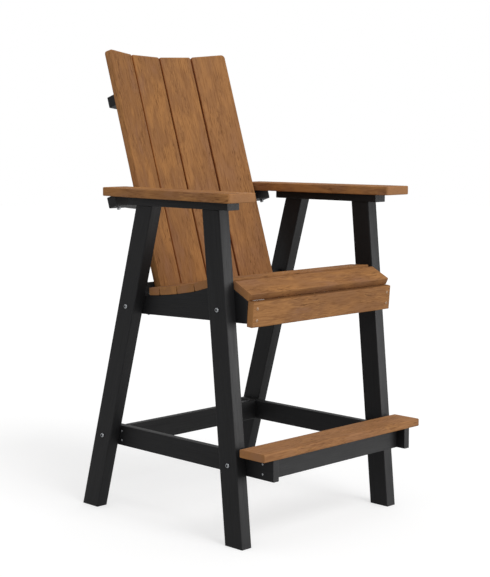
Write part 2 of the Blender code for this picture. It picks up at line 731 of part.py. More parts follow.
def make_brace_screws(steel, root, lower_brace, seat_rails):
    """A round-headed screw up through each seat rail into the lower brace's ear."""
    n = EAR_N - BRACE_SCREW_SETBACK
    start = back_point(0, n, 0)
    steep = math.cos(BACK_TILT) + math.tan(SEAT_RAIL_FALL) * math.sin(BACK_TILT)
    under = (rail_bottom(start.y) - start.z) / steep
    seat = under + BRACE_SCREW_SINK
    tip = BRACE_SCREW_BITE
    shank = BRACE_SCREW_SHANK / 2
    head = BRACE_SCREW_HEAD / 2
    crown = BRACE_SCREW_HEAD_HEIGHT
    deep = seat - 2 * crown
    hole = [(0, tip + HOLE_ROOM), (shank + HOLE_ROOM, tip + HOLE_ROOM), (shank + HOLE_ROOM, seat)]
    hole += [(head + HOLE_ROOM, seat), (head + HOLE_ROOM, deep), (0, deep)]
    profile = [(0, tip), (shank / 2, tip), (shank, tip - BRACE_SCREW_SHANK)]
    profile += [(shank, seat - SEAT_GAP), (head, seat - SEAT_GAP), (head, seat - crown / 2)]
    profile += [(head - crown / 4, seat - crown * 7 / 8), (head / 2, seat - crown), (0, seat - crown)]
    for side, sign in SIDES.items():
        foot = back_point(sign * RAIL_X, n, 0)
        placed = Matrix.Translation(foot) @ Matrix.Rotation(-BACK_TILT, 4, "X")
        cutter = hidden(add(f"bore_brace_{side}", turned(hole, HOLE_STEPS), steel, placed, root))
        drill(seat_rails[side], cutter)
        drill(lower_brace, cutter)
        add(f"brace_screw_{side}", turned(profile, HOLE_STEPS), steel, placed, root)


def centre_on_origin(root):
    """Stands the chair with the middle of its outline over the origin."""
    bpy.context.view_layer.update()
    graph = bpy.context.evaluated_depsgraph_get()
    depths = []
    for obj in bpy.context.scene.objects:
        if obj.type == "MESH" and not obj.hide_render:
            ready = obj.evaluated_get(graph)
            depths += [(ready.matrix_world @ Vector(spot)).y for spot in ready.bound_box]
    root.location.y = -(min(depths) + max(depths)) / 2


def main():
    clear_scene()
    root = bpy.data.objects.new("chair", None)
    bpy.context.scene.collection.objects.link(root)
    brown = material("woodgrain board", (0.235, 0.120, 0.053), 0.55)
    black = material("black board", (0.022, 0.022, 0.022), 0.50)
    steel = material("stainless steel", (0.62, 0.62, 0.60), 0.30, 1.0)

    legs = make_legs(black, root)
    seat_rails = make_seat(brown, black, root)
    make_back_slats(brown, root)
    lower_brace, arm_brace = make_braces(black, root)
    arms = make_arms(brown, black, root)
    foot_rails = make_footrest(brown, black, root)
    make_bolts(steel, root, legs, seat_rails, foot_rails)
    make_arm_screws(steel, root, arm_brace, arms)
    make_brace_screws(steel, root, lower_brace, seat_rails)
    centre_on_origin(root)


main()
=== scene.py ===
"""Dresses the packed bar chair.

Every board is drawn again over its solid with softly rounded edges and a grain that runs along that board. Bolts,
nuts and screws get their drives, chamfers and threads. A pale stage, soft light and a camera show the chair from its
front corner. Lengths are metres, +Z is up, the sitter faces -Y and the sitter's left is +X.
"""

import math

import bmesh
import bpy
import numpy as np
from bpy.props import FloatProperty, FloatVectorProperty, IntProperty, PointerProperty
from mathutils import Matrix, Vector


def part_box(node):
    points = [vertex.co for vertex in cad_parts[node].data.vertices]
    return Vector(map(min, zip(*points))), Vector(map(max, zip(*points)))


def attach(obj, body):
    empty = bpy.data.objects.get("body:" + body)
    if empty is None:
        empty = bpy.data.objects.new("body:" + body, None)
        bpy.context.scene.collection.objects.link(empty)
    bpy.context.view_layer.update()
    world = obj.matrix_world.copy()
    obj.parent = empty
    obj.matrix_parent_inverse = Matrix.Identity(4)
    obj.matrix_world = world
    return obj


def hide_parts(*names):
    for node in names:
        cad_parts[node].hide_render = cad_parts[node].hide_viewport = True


bl_info = {
    "name": "Bar Chair Dresser",
    "version": (1, 0, 0),
    "blender": (4, 5, 0),
    "location": "View3D > Sidebar > Bar Chair",
    "description": "Draws the boards, fasteners and stage of a bar chair over its solids",
    "category": "Object",
}

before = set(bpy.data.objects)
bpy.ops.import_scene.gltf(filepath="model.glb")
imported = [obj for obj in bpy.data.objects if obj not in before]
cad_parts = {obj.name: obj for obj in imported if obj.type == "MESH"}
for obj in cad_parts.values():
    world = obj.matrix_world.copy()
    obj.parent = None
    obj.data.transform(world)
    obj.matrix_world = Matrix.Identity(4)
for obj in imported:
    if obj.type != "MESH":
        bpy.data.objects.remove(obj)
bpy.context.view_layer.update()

# Each side's direction along X.
SIDES = {"left": 1, "right": -1}
ENDS = ("front", "rear")
BRACES = ("upper_back_brace", "arm_back_brace", "lower_back_brace")
BACK_SLATS = [f"back_slat_{number}" for number in range(1, 5)]
SEAT_SLATS = [f"seat_slat_{number}" for number in range(1, 7)]
ACROSS_CHAIR = (1, 0, 0)

# How far a board, and then its sawn ends, go towards the pale colour. Sawn ends are paler as their own tone. The
# footrest, the third and fourth back slats and the arms' ends are paler as painted light, standing in for light that
# falls on them.
USUAL_PALENESS = (0.0, 0.15)
PALENESS_AND_PAINTED_LIGHT = {
    "arm_left": (0.0, 0.75),
    "arm_right": (0.0, 0.75),
    "footrest_board": (0.6, 0.1),
    "back_slat_3": (0.15, 0.15),
    "back_slat_4": (0.3, 0.15),
}
# Painted shade in the seams that some boards make with their neighbours: warm (1) for the warm shade between two
# brown boards, dark (-1) for the shade under another board, and which way the edges face that stand in them.
NO_SEAM_PAINTED_SHADE = (0.0, ())
SEAM_PAINTED_SHADES = {
    "back_slat_1": (1.0, ((1, 0, 0),)),
    "back_slat_2": (1.0, ((1, 0, 0), (-1, 0, 0))),
    "back_slat_3": (1.0, ((1, 0, 0), (-1, 0, 0))),
    "back_slat_4": (1.0, ((-1, 0, 0),)),
    "seat_apron": (-1.0, ((0, 0, 1),)),
}


def pair(name):
    """The names of the left and right node of a kind."""
    return [f"{name}_{side}" for side in SIDES]


def leg_fasteners(kind):
    """The names of the eight bolts or nuts at the legs."""
    return [f"{kind}_{rail}_{end}_{side}" for rail in ("seat", "foot") for end in ENDS for side in SIDES]


# Settings -----------------------------


def screen_colour(red, green, blue):
    """A colour as a screen shows it, 0 to 255, turned into linear light, which shaders take."""
    shown = np.array((red, green, blue)) / 255
    return tuple(np.where(shown <= 0.04045, shown / 12.92, ((shown + 0.055) / 1.055) ** 2.4).tolist())


def colour_property(name, description, colour):
    return FloatVectorProperty(
        name=name, description=description, default=screen_colour(*colour), subtype="COLOR", min=0, max=1
    )


def number_property(name, description, default, **limits):
    return FloatProperty(name=name, description=description, default=default, **limits)


def length_property(name, description, default):
    return number_property(name, description, default, unit="LENGTH", min=0, precision=5)


def angle_property(name, description, degrees, **limits):
    return number_property(name, description, math.radians(degrees), subtype="ANGLE", **limits)


def place_property(name, description, default):
    return FloatVectorProperty(name=name, description=description, default=default, subtype="XYZ")


class BoardSettings(bpy.types.PropertyGroup):
    """How every board is cut."""

    edge_steps: IntProperty(
        name="Edge steps", description="Flats in the quarter circle of a rounded edge", default=5, min=2, max=12
    )
    sawn_easing: length_property("Sawn easing", "How far a sawn end is eased where it meets the flats", 0.0008)
    grain_seed: IntProperty(name="Grain seed", description="Picks which stretch of grain each board shows", default=7)


class WoodgrainSettings(bpy.types.PropertyGroup):
    """Colours and grain of the brown boards."""

    body: colour_property("Body", "Most of the board", (159, 113, 73))
    honey: colour_property("Honey", "Golden patches", (177, 126, 78))
    ash: colour_property("Ash", "Greyer patches", (158, 114, 81))
    glint: colour_property("Glint", "Gathered pale dashes", (190, 138, 86))
    shade: colour_property("Shade", "Broad darker bands", (138, 94, 58))
    streak: colour_property("Streak", "Fine dark streaks", (108, 68, 39))
    fleck: colour_property("Fleck", "Short dark flecks", (74, 45, 27))
    # Rounded edges lighter for wear and a painted highlight.
    rubbed: colour_property("Rubbed", "Rounded edges", (168, 120, 80))
    # Painted light as well as tone: this also makes the footrest, two back slats and the arms' ends paler where light
    # falls.
    pale: colour_property("Pale", "Sanded ends and paler boards", (178, 129, 88))
    # Painted shade: warm brown that stands in for the shade and warm bounce light in the gaps between back slats.
    warm_painted_seam_shade: colour_property("Warm seam", "Edges that another brown board faces closely", (156, 80, 22))
    # Painted shade: the dark line on the apron's top edge, where it stands in shade under the first seat slat.
    dark_painted_seam_shade: colour_property("Dark seam", "Edges that stand in shade under another board", (60, 38, 24))
    streak_length: length_property("Streak length", "Length of a fine streak", 0.040)
    streak_width: length_property("Streak width", "Width of a fine streak", 0.0030)
    grain_depth: length_property("Grain depth", "Depth of the grain pressed into the face", 0.00025)


class BlackBoardSettings(bpy.types.PropertyGroup):
    """Colours and grain of the black boards."""

    body: colour_property("Body", "Most of the board", (29, 29, 30))
    streak: colour_property("Streak", "Fine streaks along the board", (22, 22, 23))
    # Rounded edges lighter for wear and a painted highlight.
    rubbed: colour_property("Rubbed", "Rounded edges", (44, 44, 45))
    streak_length: length_property("Streak length", "Length of a fine streak", 0.09)
    streak_width: length_property("Streak width", "Width of a fine streak", 0.0014)
    grain_depth: length_property("Grain depth", "Depth of the grain pressed into the face", 0.0002)


class FastenerSettings(bpy.types.PropertyGroup):
    """Sizes and colours of the steel."""

    steel: colour_property("Steel", "Bright steel", (160, 162, 165))
    dull: colour_property("Dull steel", "Duller turned rings", (112, 114, 117))
    # Painted shade: the walls of a drive are dark as if shaded in the recess.
    drive_painted_shade: colour_property("Sunk", "Walls of a drive", (34, 33, 33))
    coat: colour_property("Coat", "Coated heads in the brown boards", (196, 158, 120))
    coat_shade: colour_property("Coat shade", "Thinner spots of that coat", (164, 122, 84))
    ring_depth: length_property("Ring depth", "Depth of the turned rings and of the coat's mottle", 0.00002)
    thread_pitch: length_property("Thread pitch", "From one turn of the bolt thread to the next", 0.00125)
    screw_head: length_property("Screw head", "Diameter of a small screw's head", 0.0064)
    screw_rise: length_property("Screw rise", "Height of a small screw's head", 0.0016)
    coated_head: length_property("Coated head", "Diameter of a coated screw's head", 0.0092)
    apron_inset: length_property("Apron inset", "From a seat rail's middle in to the apron's screws", 0.0065)
    slat_spread: length_property("Slat spread", "From a back slat's middle to each of its two screws", 0.03)


class StageSettings(bpy.types.PropertyGroup):
    """Floor, light and camera."""

    floor: colour_property("Floor", "Pale floor", (196, 196, 196))
    floor_reach: length_property("Floor reach", "From the middle to each side of the floor", 14.0)
    floor_glow: number_property(
        "Floor glow", "Light the floor adds for the camera, so that bare floor is white", 0.575, min=0, max=1
    )
    fill: number_property(
        "Fill", "Light from all round, where 1 alone shows colours as written", 0.59, min=0, max=2
    )
    key_strength: number_property("Key strength", "Soft sun from the front, which casts the shadow", 1.22, min=0)
    key_width: angle_property("Key width", "How wide that sun is", 30, min=0)
    key_place: place_property("Key place", "Where that sun stands, facing the floor's middle", (-0.1, -2.2, 2.3))
    gloss_power: number_property(
        "Gloss power", "Power of the softbox that shows in satin faces and steel", 85, unit="POWER", min=0
    )
    gloss_width: length_property("Gloss width", "Width of the softbox", 1.8)
    gloss_height: length_property("Gloss height", "Height of the softbox", 1.0)
    gloss_place: place_property("Gloss place", "Where the softbox stands", (1.07, -2.13, 0.52))
    gloss_aim: place_property("Gloss aim", "What the softbox faces", (-0.53, -0.53, 0.45))
    camera_place: place_property("Camera place", "Where the camera stands", (-2.8774, -2.8715, 1.1273))
    camera_turn: angle_property("Camera turn", "Turn of the camera about the vertical", -45.04)
    camera_dip: angle_property("Camera dip", "How far the camera looks down", 6.558)
    lens: number_property("Lens", "Focal length in millimetres", 85.97, min=10, max=300)
    sensor: number_property("Sensor", "Sensor width in millimetres", 36, min=1, max=100)


# Solids -------------------------------

# Cosine from which two faces count as level with each other, and under which one counts as square to another.
LEVEL = 0.9999
SQUARE = 0.01
LEAST_AREA = 1e-12
# How far below its highest point a flat may lie.
FLAT_DEPTH = 2e-4
# Sine of the least turn that makes a corner.
LEAST_TURN = 3e-4
# Corners that turn less than this are moved along one normal.
LEAST_MITRE = 2e-3
LEAST_ROUNDING = 5e-4
# Share of the greatest radius from which a point belongs to the wide end.
WIDE_END = 0.97


def read_solid(name):
    """Points and triangles of a CAD node, with equal points made one."""
    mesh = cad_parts[name].data
    mesh.calc_loop_triangles()
    points = np.empty(3 * len(mesh.vertices), np.float32)
    mesh.vertices.foreach_get("co", points)
    corners = np.empty(3 * len(mesh.loop_triangles), np.int32)
    mesh.loop_triangles.foreach_get("vertices", corners)
    points = points.reshape(-1, 3).astype(float)
    _, first, index = np.unique(np.round(points, 6), axis=0, return_index=True, return_inverse=True)
    return points[first], index.reshape(-1)[corners].reshape(-1, 3)


def unit(vectors):
    """The same directions with length 1."""
    return vectors / np.linalg.norm(vectors, axis=-1, keepdims=True)


def shared_direction(normals, areas):
    """The facing that most of the given surface shares: the mean normal, by area, of its largest level part."""
    level = normals @ normals.T > LEVEL
    widest = level[np.argmax(level @ areas)]
    return unit((normals[widest] * areas[widest, None]).sum(axis=0))


def board_axes(points, faces, along=None):
    """Length, width and thickness directions of a board.

    Thickness is the facing that most of the board shares. Length lies square to it and to the widest edge, unless
    along gives it.
    """
    first, second, third = points[faces].swapaxes(0, 1)
    normals = np.cross(second - first, third - first)
    areas = np.linalg.norm(normals, axis=1)
    whole = areas > LEAST_AREA
    normals, areas = normals[whole] / areas[whole, None], areas[whole]
    flat = shared_direction(normals, areas)
    if along is None:
        edge = np.abs(normals @ flat) < SQUARE
        along = np.cross(shared_direction(normals[edge], areas[edge]), flat)
    along = unit(np.asarray(along, float))
    along = along * np.sign(along[np.argmax(np.abs(along))])
    return np.array((along, np.cross(flat, along), flat))


def longest_rim(points, faces, flat):
    """The outline of a board's flat side, in order: the edges that only one of its triangles uses, end to end.

    Bores leave shorter rims of their own.
    """
    height = points @ flat
    side = faces[(height[faces] > height.max() - FLAT_DEPTH).all(axis=1)]
    ends = np.concatenate([side[:, [0, 1]], side[:, [1, 2]], side[:, [2, 0]]])
    count = len(points)
    open_ends = ends[~np.isin(ends[:, 0] * count + ends[:, 1], ends[:, 1] * count + ends[:, 0])]
    following = dict(open_ends.tolist())
    rims = []
    while following:
        walk = [next(iter(following))]
        while walk[-1] in following:
            walk.append(following.pop(walk[-1]))
        rims.append(points[walk[:-1]])
    return max(rims, key=lambda rim: np.linalg.norm(rim - np.roll(rim, 1, axis=0), axis=1).sum())


def edge_normals(outline):
    """Outward normal of each edge of a flat outline that runs anticlockwise."""
    edge = np.roll(outline, -1, axis=0) - outline
    return unit(np.stack([edge[:, 1], -edge[:, 0]], axis=1))


def corner_shifts(outline, amounts):
    """How each corner moves when every edge moves outwards by its own amount.

    It is the vector whose length along both neighbouring edges' normals is those edges' amounts.
    """
    normal = edge_normals(outline)
    both = np.stack([np.roll(normal, 1, axis=0), normal], axis=1)
    wanted = np.stack([np.roll(amounts, 1), amounts], axis=1)[..., None]
    return (np.linalg.pinv(both, rcond=LEAST_MITRE) @ wanted)[..., 0]


def turning_points(outline):
    """The outline without the points inside its straight edges."""
    before, after = outline - np.roll(outline, 1, axis=0), np.roll(outline, -1, axis=0) - outline
    turn = before[:, 0] * after[:, 1] - before[:, 1] * after[:, 0]
    return outline[np.abs(turn) > LEAST_TURN * np.linalg.norm(before, axis=1) * np.linalg.norm(after, axis=1)]


def read_board(name, along=None):
    """A board's axes, the outline seen along its thickness, its thickness, and how far each edge is rounded."""
    points, faces = read_solid(name)
    axes = board_axes(points, faces, along)
    spread = points @ axes.T
    rim = turning_points(longest_rim(points, faces, axes[2]) @ axes[:2].T)
    normal = edge_normals(rim)
    reach = (spread[:, :2] @ normal.T).max(axis=0) - (rim * normal).sum(axis=1)
    rounded = reach > LEAST_ROUNDING
    rounding = reach[rounded].min() if rounded.any() else 0.0
    reach = np.where(rounded, rounding, 0.0)
    low, high = spread[:, 2].min(), spread[:, 2].max()
    return {
        "axes": axes,
        "outline": rim + corner_shifts(rim, reach),
        "reach": reach,
        "rounding": rounding,
        "middle": (low + high) / 2,
        "thickness": high - low,
        "top": points[:, 2].max(),
    }


def read_axis(name):
    """Middle, direction and ends of a turned node.

    The direction is the one round which its points spread evenly, towards its wide end.
    """
    points, _ = read_solid(name)
    middle = points.mean(axis=0)
    spread, directions = np.linalg.eigh(np.cov((points - middle).T))
    axis = directions[:, 2 if spread[2] - spread[1] > spread[1] - spread[0] else 0]
    along = (points - middle) @ axis
    radius = np.linalg.norm(points - middle - along[:, None] * axis, axis=1)
    if along[radius > WIDE_END * radius.max()].mean() < (along.min() + along.max()) / 2:
        axis, along = -axis, -along
    return middle, axis, along.min(), along.max()


def read_seats(names):
    """Middle and direction of each turned node of one kind, and the ends of the first along its direction."""
    axes = [read_axis(name) for name in names]
    return [axis[:2] for axis in axes], *axes[0][2:]


# Surfaces -----------------------------

# A ring on a board's flats, in reaches from the outline.
FLAT_RING = 1.5
# Share of an edge's normal along the board at which the edge begins to be a sawn end, and is one.
SAWN_FROM, SAWN_FULL = 0.5, 0.9
# Cosine from which an edge faces into a seam.
SEAM_FACING = 0.7
# How far below the head's top a drive's walls get painted shade.
DRIVE_SHADE_FROM = 0.00025
# Cosine from which a fastener counts as upright.
UPRIGHT = 0.9
# How far a surface may stand over its solid, past which it is planed.
PLANING_ROOM = 1e-3
SHARP_FROM = math.radians(35)
# How far along each axis a board's stretch of grain may lie, and how far apart the seeds of two rounds are.
GRAIN_REACH = 3
SEED_STEP = 1000
# Type, domain and field of the masks and coordinates that materials read.
ATTRIBUTES = {
    "grain": ("FLOAT_VECTOR", "POINT", "vector"),
    "rub": ("FLOAT", "POINT", "value"),
    "tone": ("FLOAT_VECTOR", "FACE", "vector"),
}


def wrapped_grid(around, across, copies=1):
    """Faces of equal grids that close on themselves the first way and have a flat face at each end of the second.

    The quads of all copies come first, then their end faces.
    """
    here = np.arange(around)[:, None] * across + np.arange(across - 1)
    beside = np.roll(here, -1, axis=0)
    quads = np.stack([here, beside, beside + 1, here + 1], axis=-1).reshape(-1, 4)
    ring = np.arange(around) * across
    ends = np.stack([ring[::-1], ring + across - 1])
    start = np.arange(copies)[:, None, None] * around * across
    return (quads + start).reshape(-1, 4).tolist() + (ends + start).reshape(-1, around).tolist()


def board_surface(board, settings, board_pale_and_painted_light, ends_pale_and_painted_light, painted_seam_shade, seam_facings):
    """A board as a grid: round its outline, and from one flat over the rounded edges to the other.

    Each edge is a quarter circle. At angle t it stands in from the outline by its reach times 1 - sin t, and in from
    the flat by the rounding times 1 - cos t. A ring half a reach further in keeps the flats' shading level. Its edge
    mask, highest mid-edge, marks the rounded edges for wear and a painted highlight. Faces that look along the board
    are its sawn ends. Each face's tone is how pale it is, its own tone and painted light together, how much of a sawn
    end, and the painted shade, warm or dark, of the seam that it lies in.
    """
    turn = np.linspace(0, np.pi / 2, settings.edge_steps + 1)
    rounding = max(board["rounding"], settings.sawn_easing)
    inward = np.concatenate([[FLAT_RING], 1 - np.sin(turn)])
    rise = np.concatenate([[0], 1 - np.cos(turn)]) * rounding - board["thickness"] / 2
    # Edge mask, highest mid-edge: wear and a painted highlight on the rounded edges.
    rub = np.concatenate([[0], np.sin(2 * turn)])
    inward, rise = np.concatenate([inward, inward[::-1]]), np.concatenate([rise, -rise[::-1]])
    outline = board["outline"]
    shift = corner_shifts(outline, np.maximum(board["reach"], settings.sawn_easing))
    flat = outline[:, None] - shift[:, None] * inward[None, :, None]
    local = np.concatenate([flat, np.broadcast_to(rise[None, :, None], (*flat.shape[:2], 1))], axis=2)
    points = (local + (0, 0, board["middle"])) @ board["axes"]
    rub = np.broadcast_to(np.concatenate([rub, rub[::-1]]), flat.shape[:2])
    normal = edge_normals(outline)
    sawn = np.clip((np.abs(normal[:, :1]) - SAWN_FROM) / (SAWN_FULL - SAWN_FROM), 0, 1)
    # Edges that face into a seam get its painted shade, deepening across the rounding towards the gap.
    meets = (normal @ board["axes"][:2] @ np.reshape(seam_facings, (-1, 3)).T > SEAM_FACING).any(axis=1)
    sinking = np.concatenate([[0], (np.arange(settings.edge_steps) + 0.5) / settings.edge_steps])
    sinking = np.concatenate([sinking, [1], sinking[::-1]])
    tone = np.stack(
        np.broadcast_arrays(
            board_pale_and_painted_light + (ends_pale_and_painted_light - board_pale_and_painted_light) * sawn, sawn, painted_seam_shade * meets[:, None] * sinking
        ),
        axis=-1,
    )
    flats_tone = np.array([[board_pale_and_painted_light, 0, 0]] * 2)
    tone = np.concatenate([tone.reshape(-1, 3), flats_tone])
    return points.reshape(-1, 3), wrapped_grid(*flat.shape[:2]), local.reshape(-1, 3), rub, tone


def turned_surface(rows, steps, thread=None):
    """A turned piece as a grid: round its axis, and along rows of (radius, height, sides) from its end to its head.

    A row with sides is a regular polygon, so at angle a its radius is half the width across the flats over the cosine
    of the angle from the nearest flat. A thread (from, to, pitch, depth) takes off a sawtooth that climbs one pitch a
    turn. Rows after the highest one that lie below it are the walls of a drive or bore, and are marked for painted
    shade.
    """
    angle = np.linspace(0, 2 * np.pi, steps, endpoint=False)[:, None]
    radius, height, sides = (np.array(column, float)[None, :] for column in zip(*rows))
    part = 2 * np.pi / np.maximum(sides, 1)
    off_flat = np.where(sides > 0, (angle + part / 2) % part - part / 2, 0.0)
    radius = radius / np.cos(off_flat)
    if thread:
        start, stop, pitch, depth = thread
        climb = (height / pitch - angle / (2 * np.pi)) % 1
        radius = radius - np.where((height > start) & (height < stop), depth * np.abs(2 * climb - 1), 0.0)
    points = np.stack(np.broadcast_arrays(radius * np.cos(angle), radius * np.sin(angle), height), axis=-1)
    inside = (np.arange(height.size) > np.argmax(height)) & (height < height.max() - DRIVE_SHADE_FROM)
    return points, np.broadcast_to(inside, points.shape[:2]).astype(float)


def seated_copies(surface, seats):
    """One turned surface set on many seats of (place, direction): its own Z turns to the direction."""
    points, drive_painted_shade = surface
    own, copies = points.reshape(-1, 3), len(seats)
    places, directions = (np.array(column, float) for column in zip(*seats))
    directions = unit(directions)
    helper = np.where(np.abs(directions[:, [2]]) > UPRIGHT, (1.0, 0.0, 0.0), (0.0, 0.0, 1.0))
    across = unit(np.cross(helper, directions))
    turns = np.stack([across, np.cross(directions, across), directions], axis=1)
    placed = own[None] @ turns + places[:, None]
    faces = wrapped_grid(*points.shape[:2], copies)
    return placed.reshape(-1, 3), faces, np.tile(own, (copies, 1)), np.tile(drive_painted_shade.ravel(), copies)


def plane_level(mesh, top):
    """Takes off what stands above a level and closes the cut."""
    work = bmesh.new()
    work.from_mesh(mesh)
    cut = bmesh.ops.bisect_plane(
        work, geom=[*work.verts, *work.edges, *work.faces], dist=1e-6, plane_co=(0, 0, top), plane_no=(0, 0, 1),
        clear_outer=True,
    )
    edges = [part for part in cut["geom_cut"] if isinstance(part, bmesh.types.BMEdge)]
    bmesh.ops.holes_fill(work, edges=edges, sides=0)
    bmesh.ops.recalc_face_normals(work, faces=work.faces)
    work.to_mesh(mesh)
    work.free()


def make_piece(context, name, finish, points, faces, stands_for=(), top=None, **attributes):
    """Puts a surface into the scene, with its own coordinates and masks, riding on the chair."""
    mesh = bpy.data.meshes.new(name)
    mesh.from_pydata(points.tolist(), [], faces)
    for key, values in attributes.items():
        kind, domain, field = ATTRIBUTES[key]
        data = mesh.attributes.new(key, kind, domain).data
        data.foreach_set(field, np.ascontiguousarray(values, np.float32).ravel())
    if top is not None and points[:, 2].max() > top + PLANING_ROOM:
        plane_level(mesh, top)
    mesh.polygons.foreach_set("use_smooth", np.ones(len(mesh.polygons), bool))
    mesh.set_sharp_from_angle(angle=SHARP_FROM)
    material, slot = finish_of(context.scene, finish)
    mesh.materials.append(material)
    piece = bpy.data.objects.new(name, mesh)
    context.scene.collection.objects.link(piece)
    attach(piece, "root")
    if stands_for:
        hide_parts(*stands_for)


def lay_boards(context, names, finish, along=None):
    """Draws each named board over its solid, with its own stretch of grain."""
    settings = context.scene.chair_boards
    order = sorted(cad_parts)
    for name in names:
        board = read_board(name, along)
        points, faces, local, rub, tone = board_surface(
            board, settings, *PALENESS_AND_PAINTED_LIGHT.get(name, USUAL_PALENESS), *SEAM_PAINTED_SHADES.get(name, NO_SEAM_PAINTED_SHADE)
        )
        draw = np.random.default_rng(settings.grain_seed * SEED_STEP + order.index(name))
        stretch = draw.uniform(-GRAIN_REACH, GRAIN_REACH, 3)
        make_piece(
            context, f"{name}_board", finish, points, faces, (name,), board["top"],
            grain=local + stretch, rub=rub, tone=tone,
        )


def seat_fasteners(context, name, surface, seats, stands_for=(), finish="steel"):
    """Draws one kind of fastener on all its seats, as one piece. Its edge mask marks the walls of its drive for
    painted shade.
    """
    points, faces, local, drive_painted_shade = seated_copies(surface, seats)
    make_piece(context, name, finish, points, faces, stands_for, grain=local, rub=drive_painted_shade)


# Shader nodes -------------------------

# Spacing of nodes in the editor, and the column of a material's shader.
COLUMN, ROW = 220, 200
SHADER_COLUMN = 17
BUMP_STRENGTH = 0.6


def feed(tree, node, **inputs):
    """Sets a node's inputs, each by its name or as _ and its number, to a value or to another node's socket."""
    for key, value in inputs.items():
        socket = node.inputs[int(key[1:]) if key[0] == "_" else key.replace("_", " ")]
        if isinstance(value, bpy.types.NodeSocket):
            tree.links.new(value, socket)
        else:
            socket.default_value = value


def put(tree, kind, settings=None, **inputs):
    """Adds a node, right of those that feed it and under those that stand there."""
    feeding = [value.node.location.x for value in inputs.values() if isinstance(value, bpy.types.NodeSocket)]
    x = max(feeding, default=-COLUMN) + COLUMN
    row = sum(other.location.x == x for other in tree.nodes)
    node = tree.nodes.new(kind)
    node.location = (x, -row * ROW)
    for key, value in (settings or {}).items():
        setattr(node, key, value)
    feed(tree, node, **inputs)
    return node


def math_node(tree, operation, first, second=0.0, third=0.0):
    return put(tree, "ShaderNodeMath", {"operation": operation}, _0=first, _1=second, _2=third).outputs[0]


def vector_node(tree, operation, first, second):
    return put(tree, "ShaderNodeVectorMath", {"operation": operation}, _0=first, _1=second).outputs[0]


def combine_node(tree, **parts):
    return put(tree, "ShaderNodeCombineXYZ", **parts).outputs[0]


def noise_node(tree, vector, scale=1.0, detail=1.0, roughness=0.5):
    noise = put(tree, "ShaderNodeTexNoise", Vector=vector, Scale=scale, Detail=detail, Roughness=roughness)
    return noise.outputs[0]


def attribute_node(tree, name):
    return put(tree, "ShaderNodeAttribute", {"attribute_name": name}).outputs


def ramp_value(tree, value, start, stop, low=0.0, high=1.0):
    """A value that eases from low to high while the input goes from start to stop."""
    node = put(
        tree, "ShaderNodeMapRange", {"interpolation_type": "SMOOTHSTEP"},
        Value=value, From_Min=start, From_Max=stop, To_Min=low, To_Max=high,
    )
    return node.outputs[0]


def layered(tree, colour, *layers):
    """A colour with layers of (share, colour) over it, in order. A colour is a socket or a linear colour."""
    for share, over in layers:
        under, upper = (part if isinstance(part, bpy.types.NodeSocket) else (*part, 1.0) for part in (colour, over))
        colour = put(tree, "ShaderNodeMix", {"data_type": "RGBA"}, _0=share, _6=under, _7=upper).outputs[2]
    return colour


def open_group(name, inputs, output):
    """A new shader group with named inputs and one output, and the sockets inside its two ends."""
    tree = bpy.data.node_groups.new(name, "ShaderNodeTree")
    tree.interface.new_socket("Vector", in_out="INPUT", socket_type="NodeSocketVector")
    for label, default in inputs.items():
        tree.interface.new_socket(label, in_out="INPUT", socket_type="NodeSocketFloat").default_value = default
    tree.interface.new_socket(output, in_out="OUTPUT", socket_type="NodeSocketFloat")
    start, end = tree.nodes.new("NodeGroupInput"), tree.nodes.new("NodeGroupOutput")
    start.location, end.location = (-COLUMN, 0), (SHADER_COLUMN * COLUMN, 0)
    return tree, start.outputs, end.inputs[output]


def stretched(tree, given):
    """A group's vector, divided by the length along the board and by the width across it."""
    size = combine_node(tree, X=given["Length"], Y=given["Width"], Z=given["Width"])
    return vector_node(tree, "DIVIDE", given["Vector"], size)


def board_streaks(name):
    """Streaks along a board: noise stretched to a length and a width, that sways as it runs."""
    inputs = {"Length": 0.08, "Width": 0.002, "Sway": 1.0, "Detail": 3.0}
    tree, given, result = open_group(name, inputs, "Streak")
    scaled = stretched(tree, given)
    broad = vector_node(tree, "MULTIPLY", scaled, (0.45, 0.12, 0.12))
    lean = math_node(tree, "MULTIPLY", noise_node(tree, broad), given["Sway"])
    swayed = vector_node(tree, "ADD", scaled, combine_node(tree, Y=lean, Z=lean))
    tree.links.new(noise_node(tree, swayed, detail=given["Detail"], roughness=0.62), result)
    return tree


def board_flecks(name):
    """Short flecks: the peaks of finely stretched noise, where a broader noise lets them gather."""
    inputs = {"Length": 0.014, "Width": 0.0012, "Start": 0.6, "Full": 0.72}
    tree, given, result = open_group(name, inputs, "Mask")
    scaled = stretched(tree, given)
    spot = ramp_value(tree, noise_node(tree, scaled, detail=1.5), given["Start"], given["Full"])
    broad = vector_node(tree, "MULTIPLY", scaled, (0.15, 0.06, 0.06))
    gather = ramp_value(tree, noise_node(tree, broad), 0.42, 0.62)
    tree.links.new(math_node(tree, "MULTIPLY", spot, gather), result)
    return tree


def edge_rub(name):
    """Edges worn by handling and lit by a painted highlight: the piece's edge mask, broken up by noise."""
    tree, given, result = open_group(name, {"Edge": 0.0, "Amount": 0.5}, "Mask")
    noise = noise_node(tree, given["Vector"], scale=45.0, detail=2.0)
    worn = math_node(tree, "MULTIPLY", given["Edge"], ramp_value(tree, noise, 0.3, 0.7, 0.45, 1.0))
    tree.links.new(math_node(tree, "MULTIPLY", worn, given["Amount"]), result)
    return tree


def use_group(tree, build, **inputs):
    """Adds a shader group, which is built the first time that a material uses it, and gives its output."""
    group = bpy.data.node_groups.get(build.__name__) or build(build.__name__)
    return put(tree, "ShaderNodeGroup", {"node_tree": group}, **inputs).outputs[0]


# Finishes -----------------------------


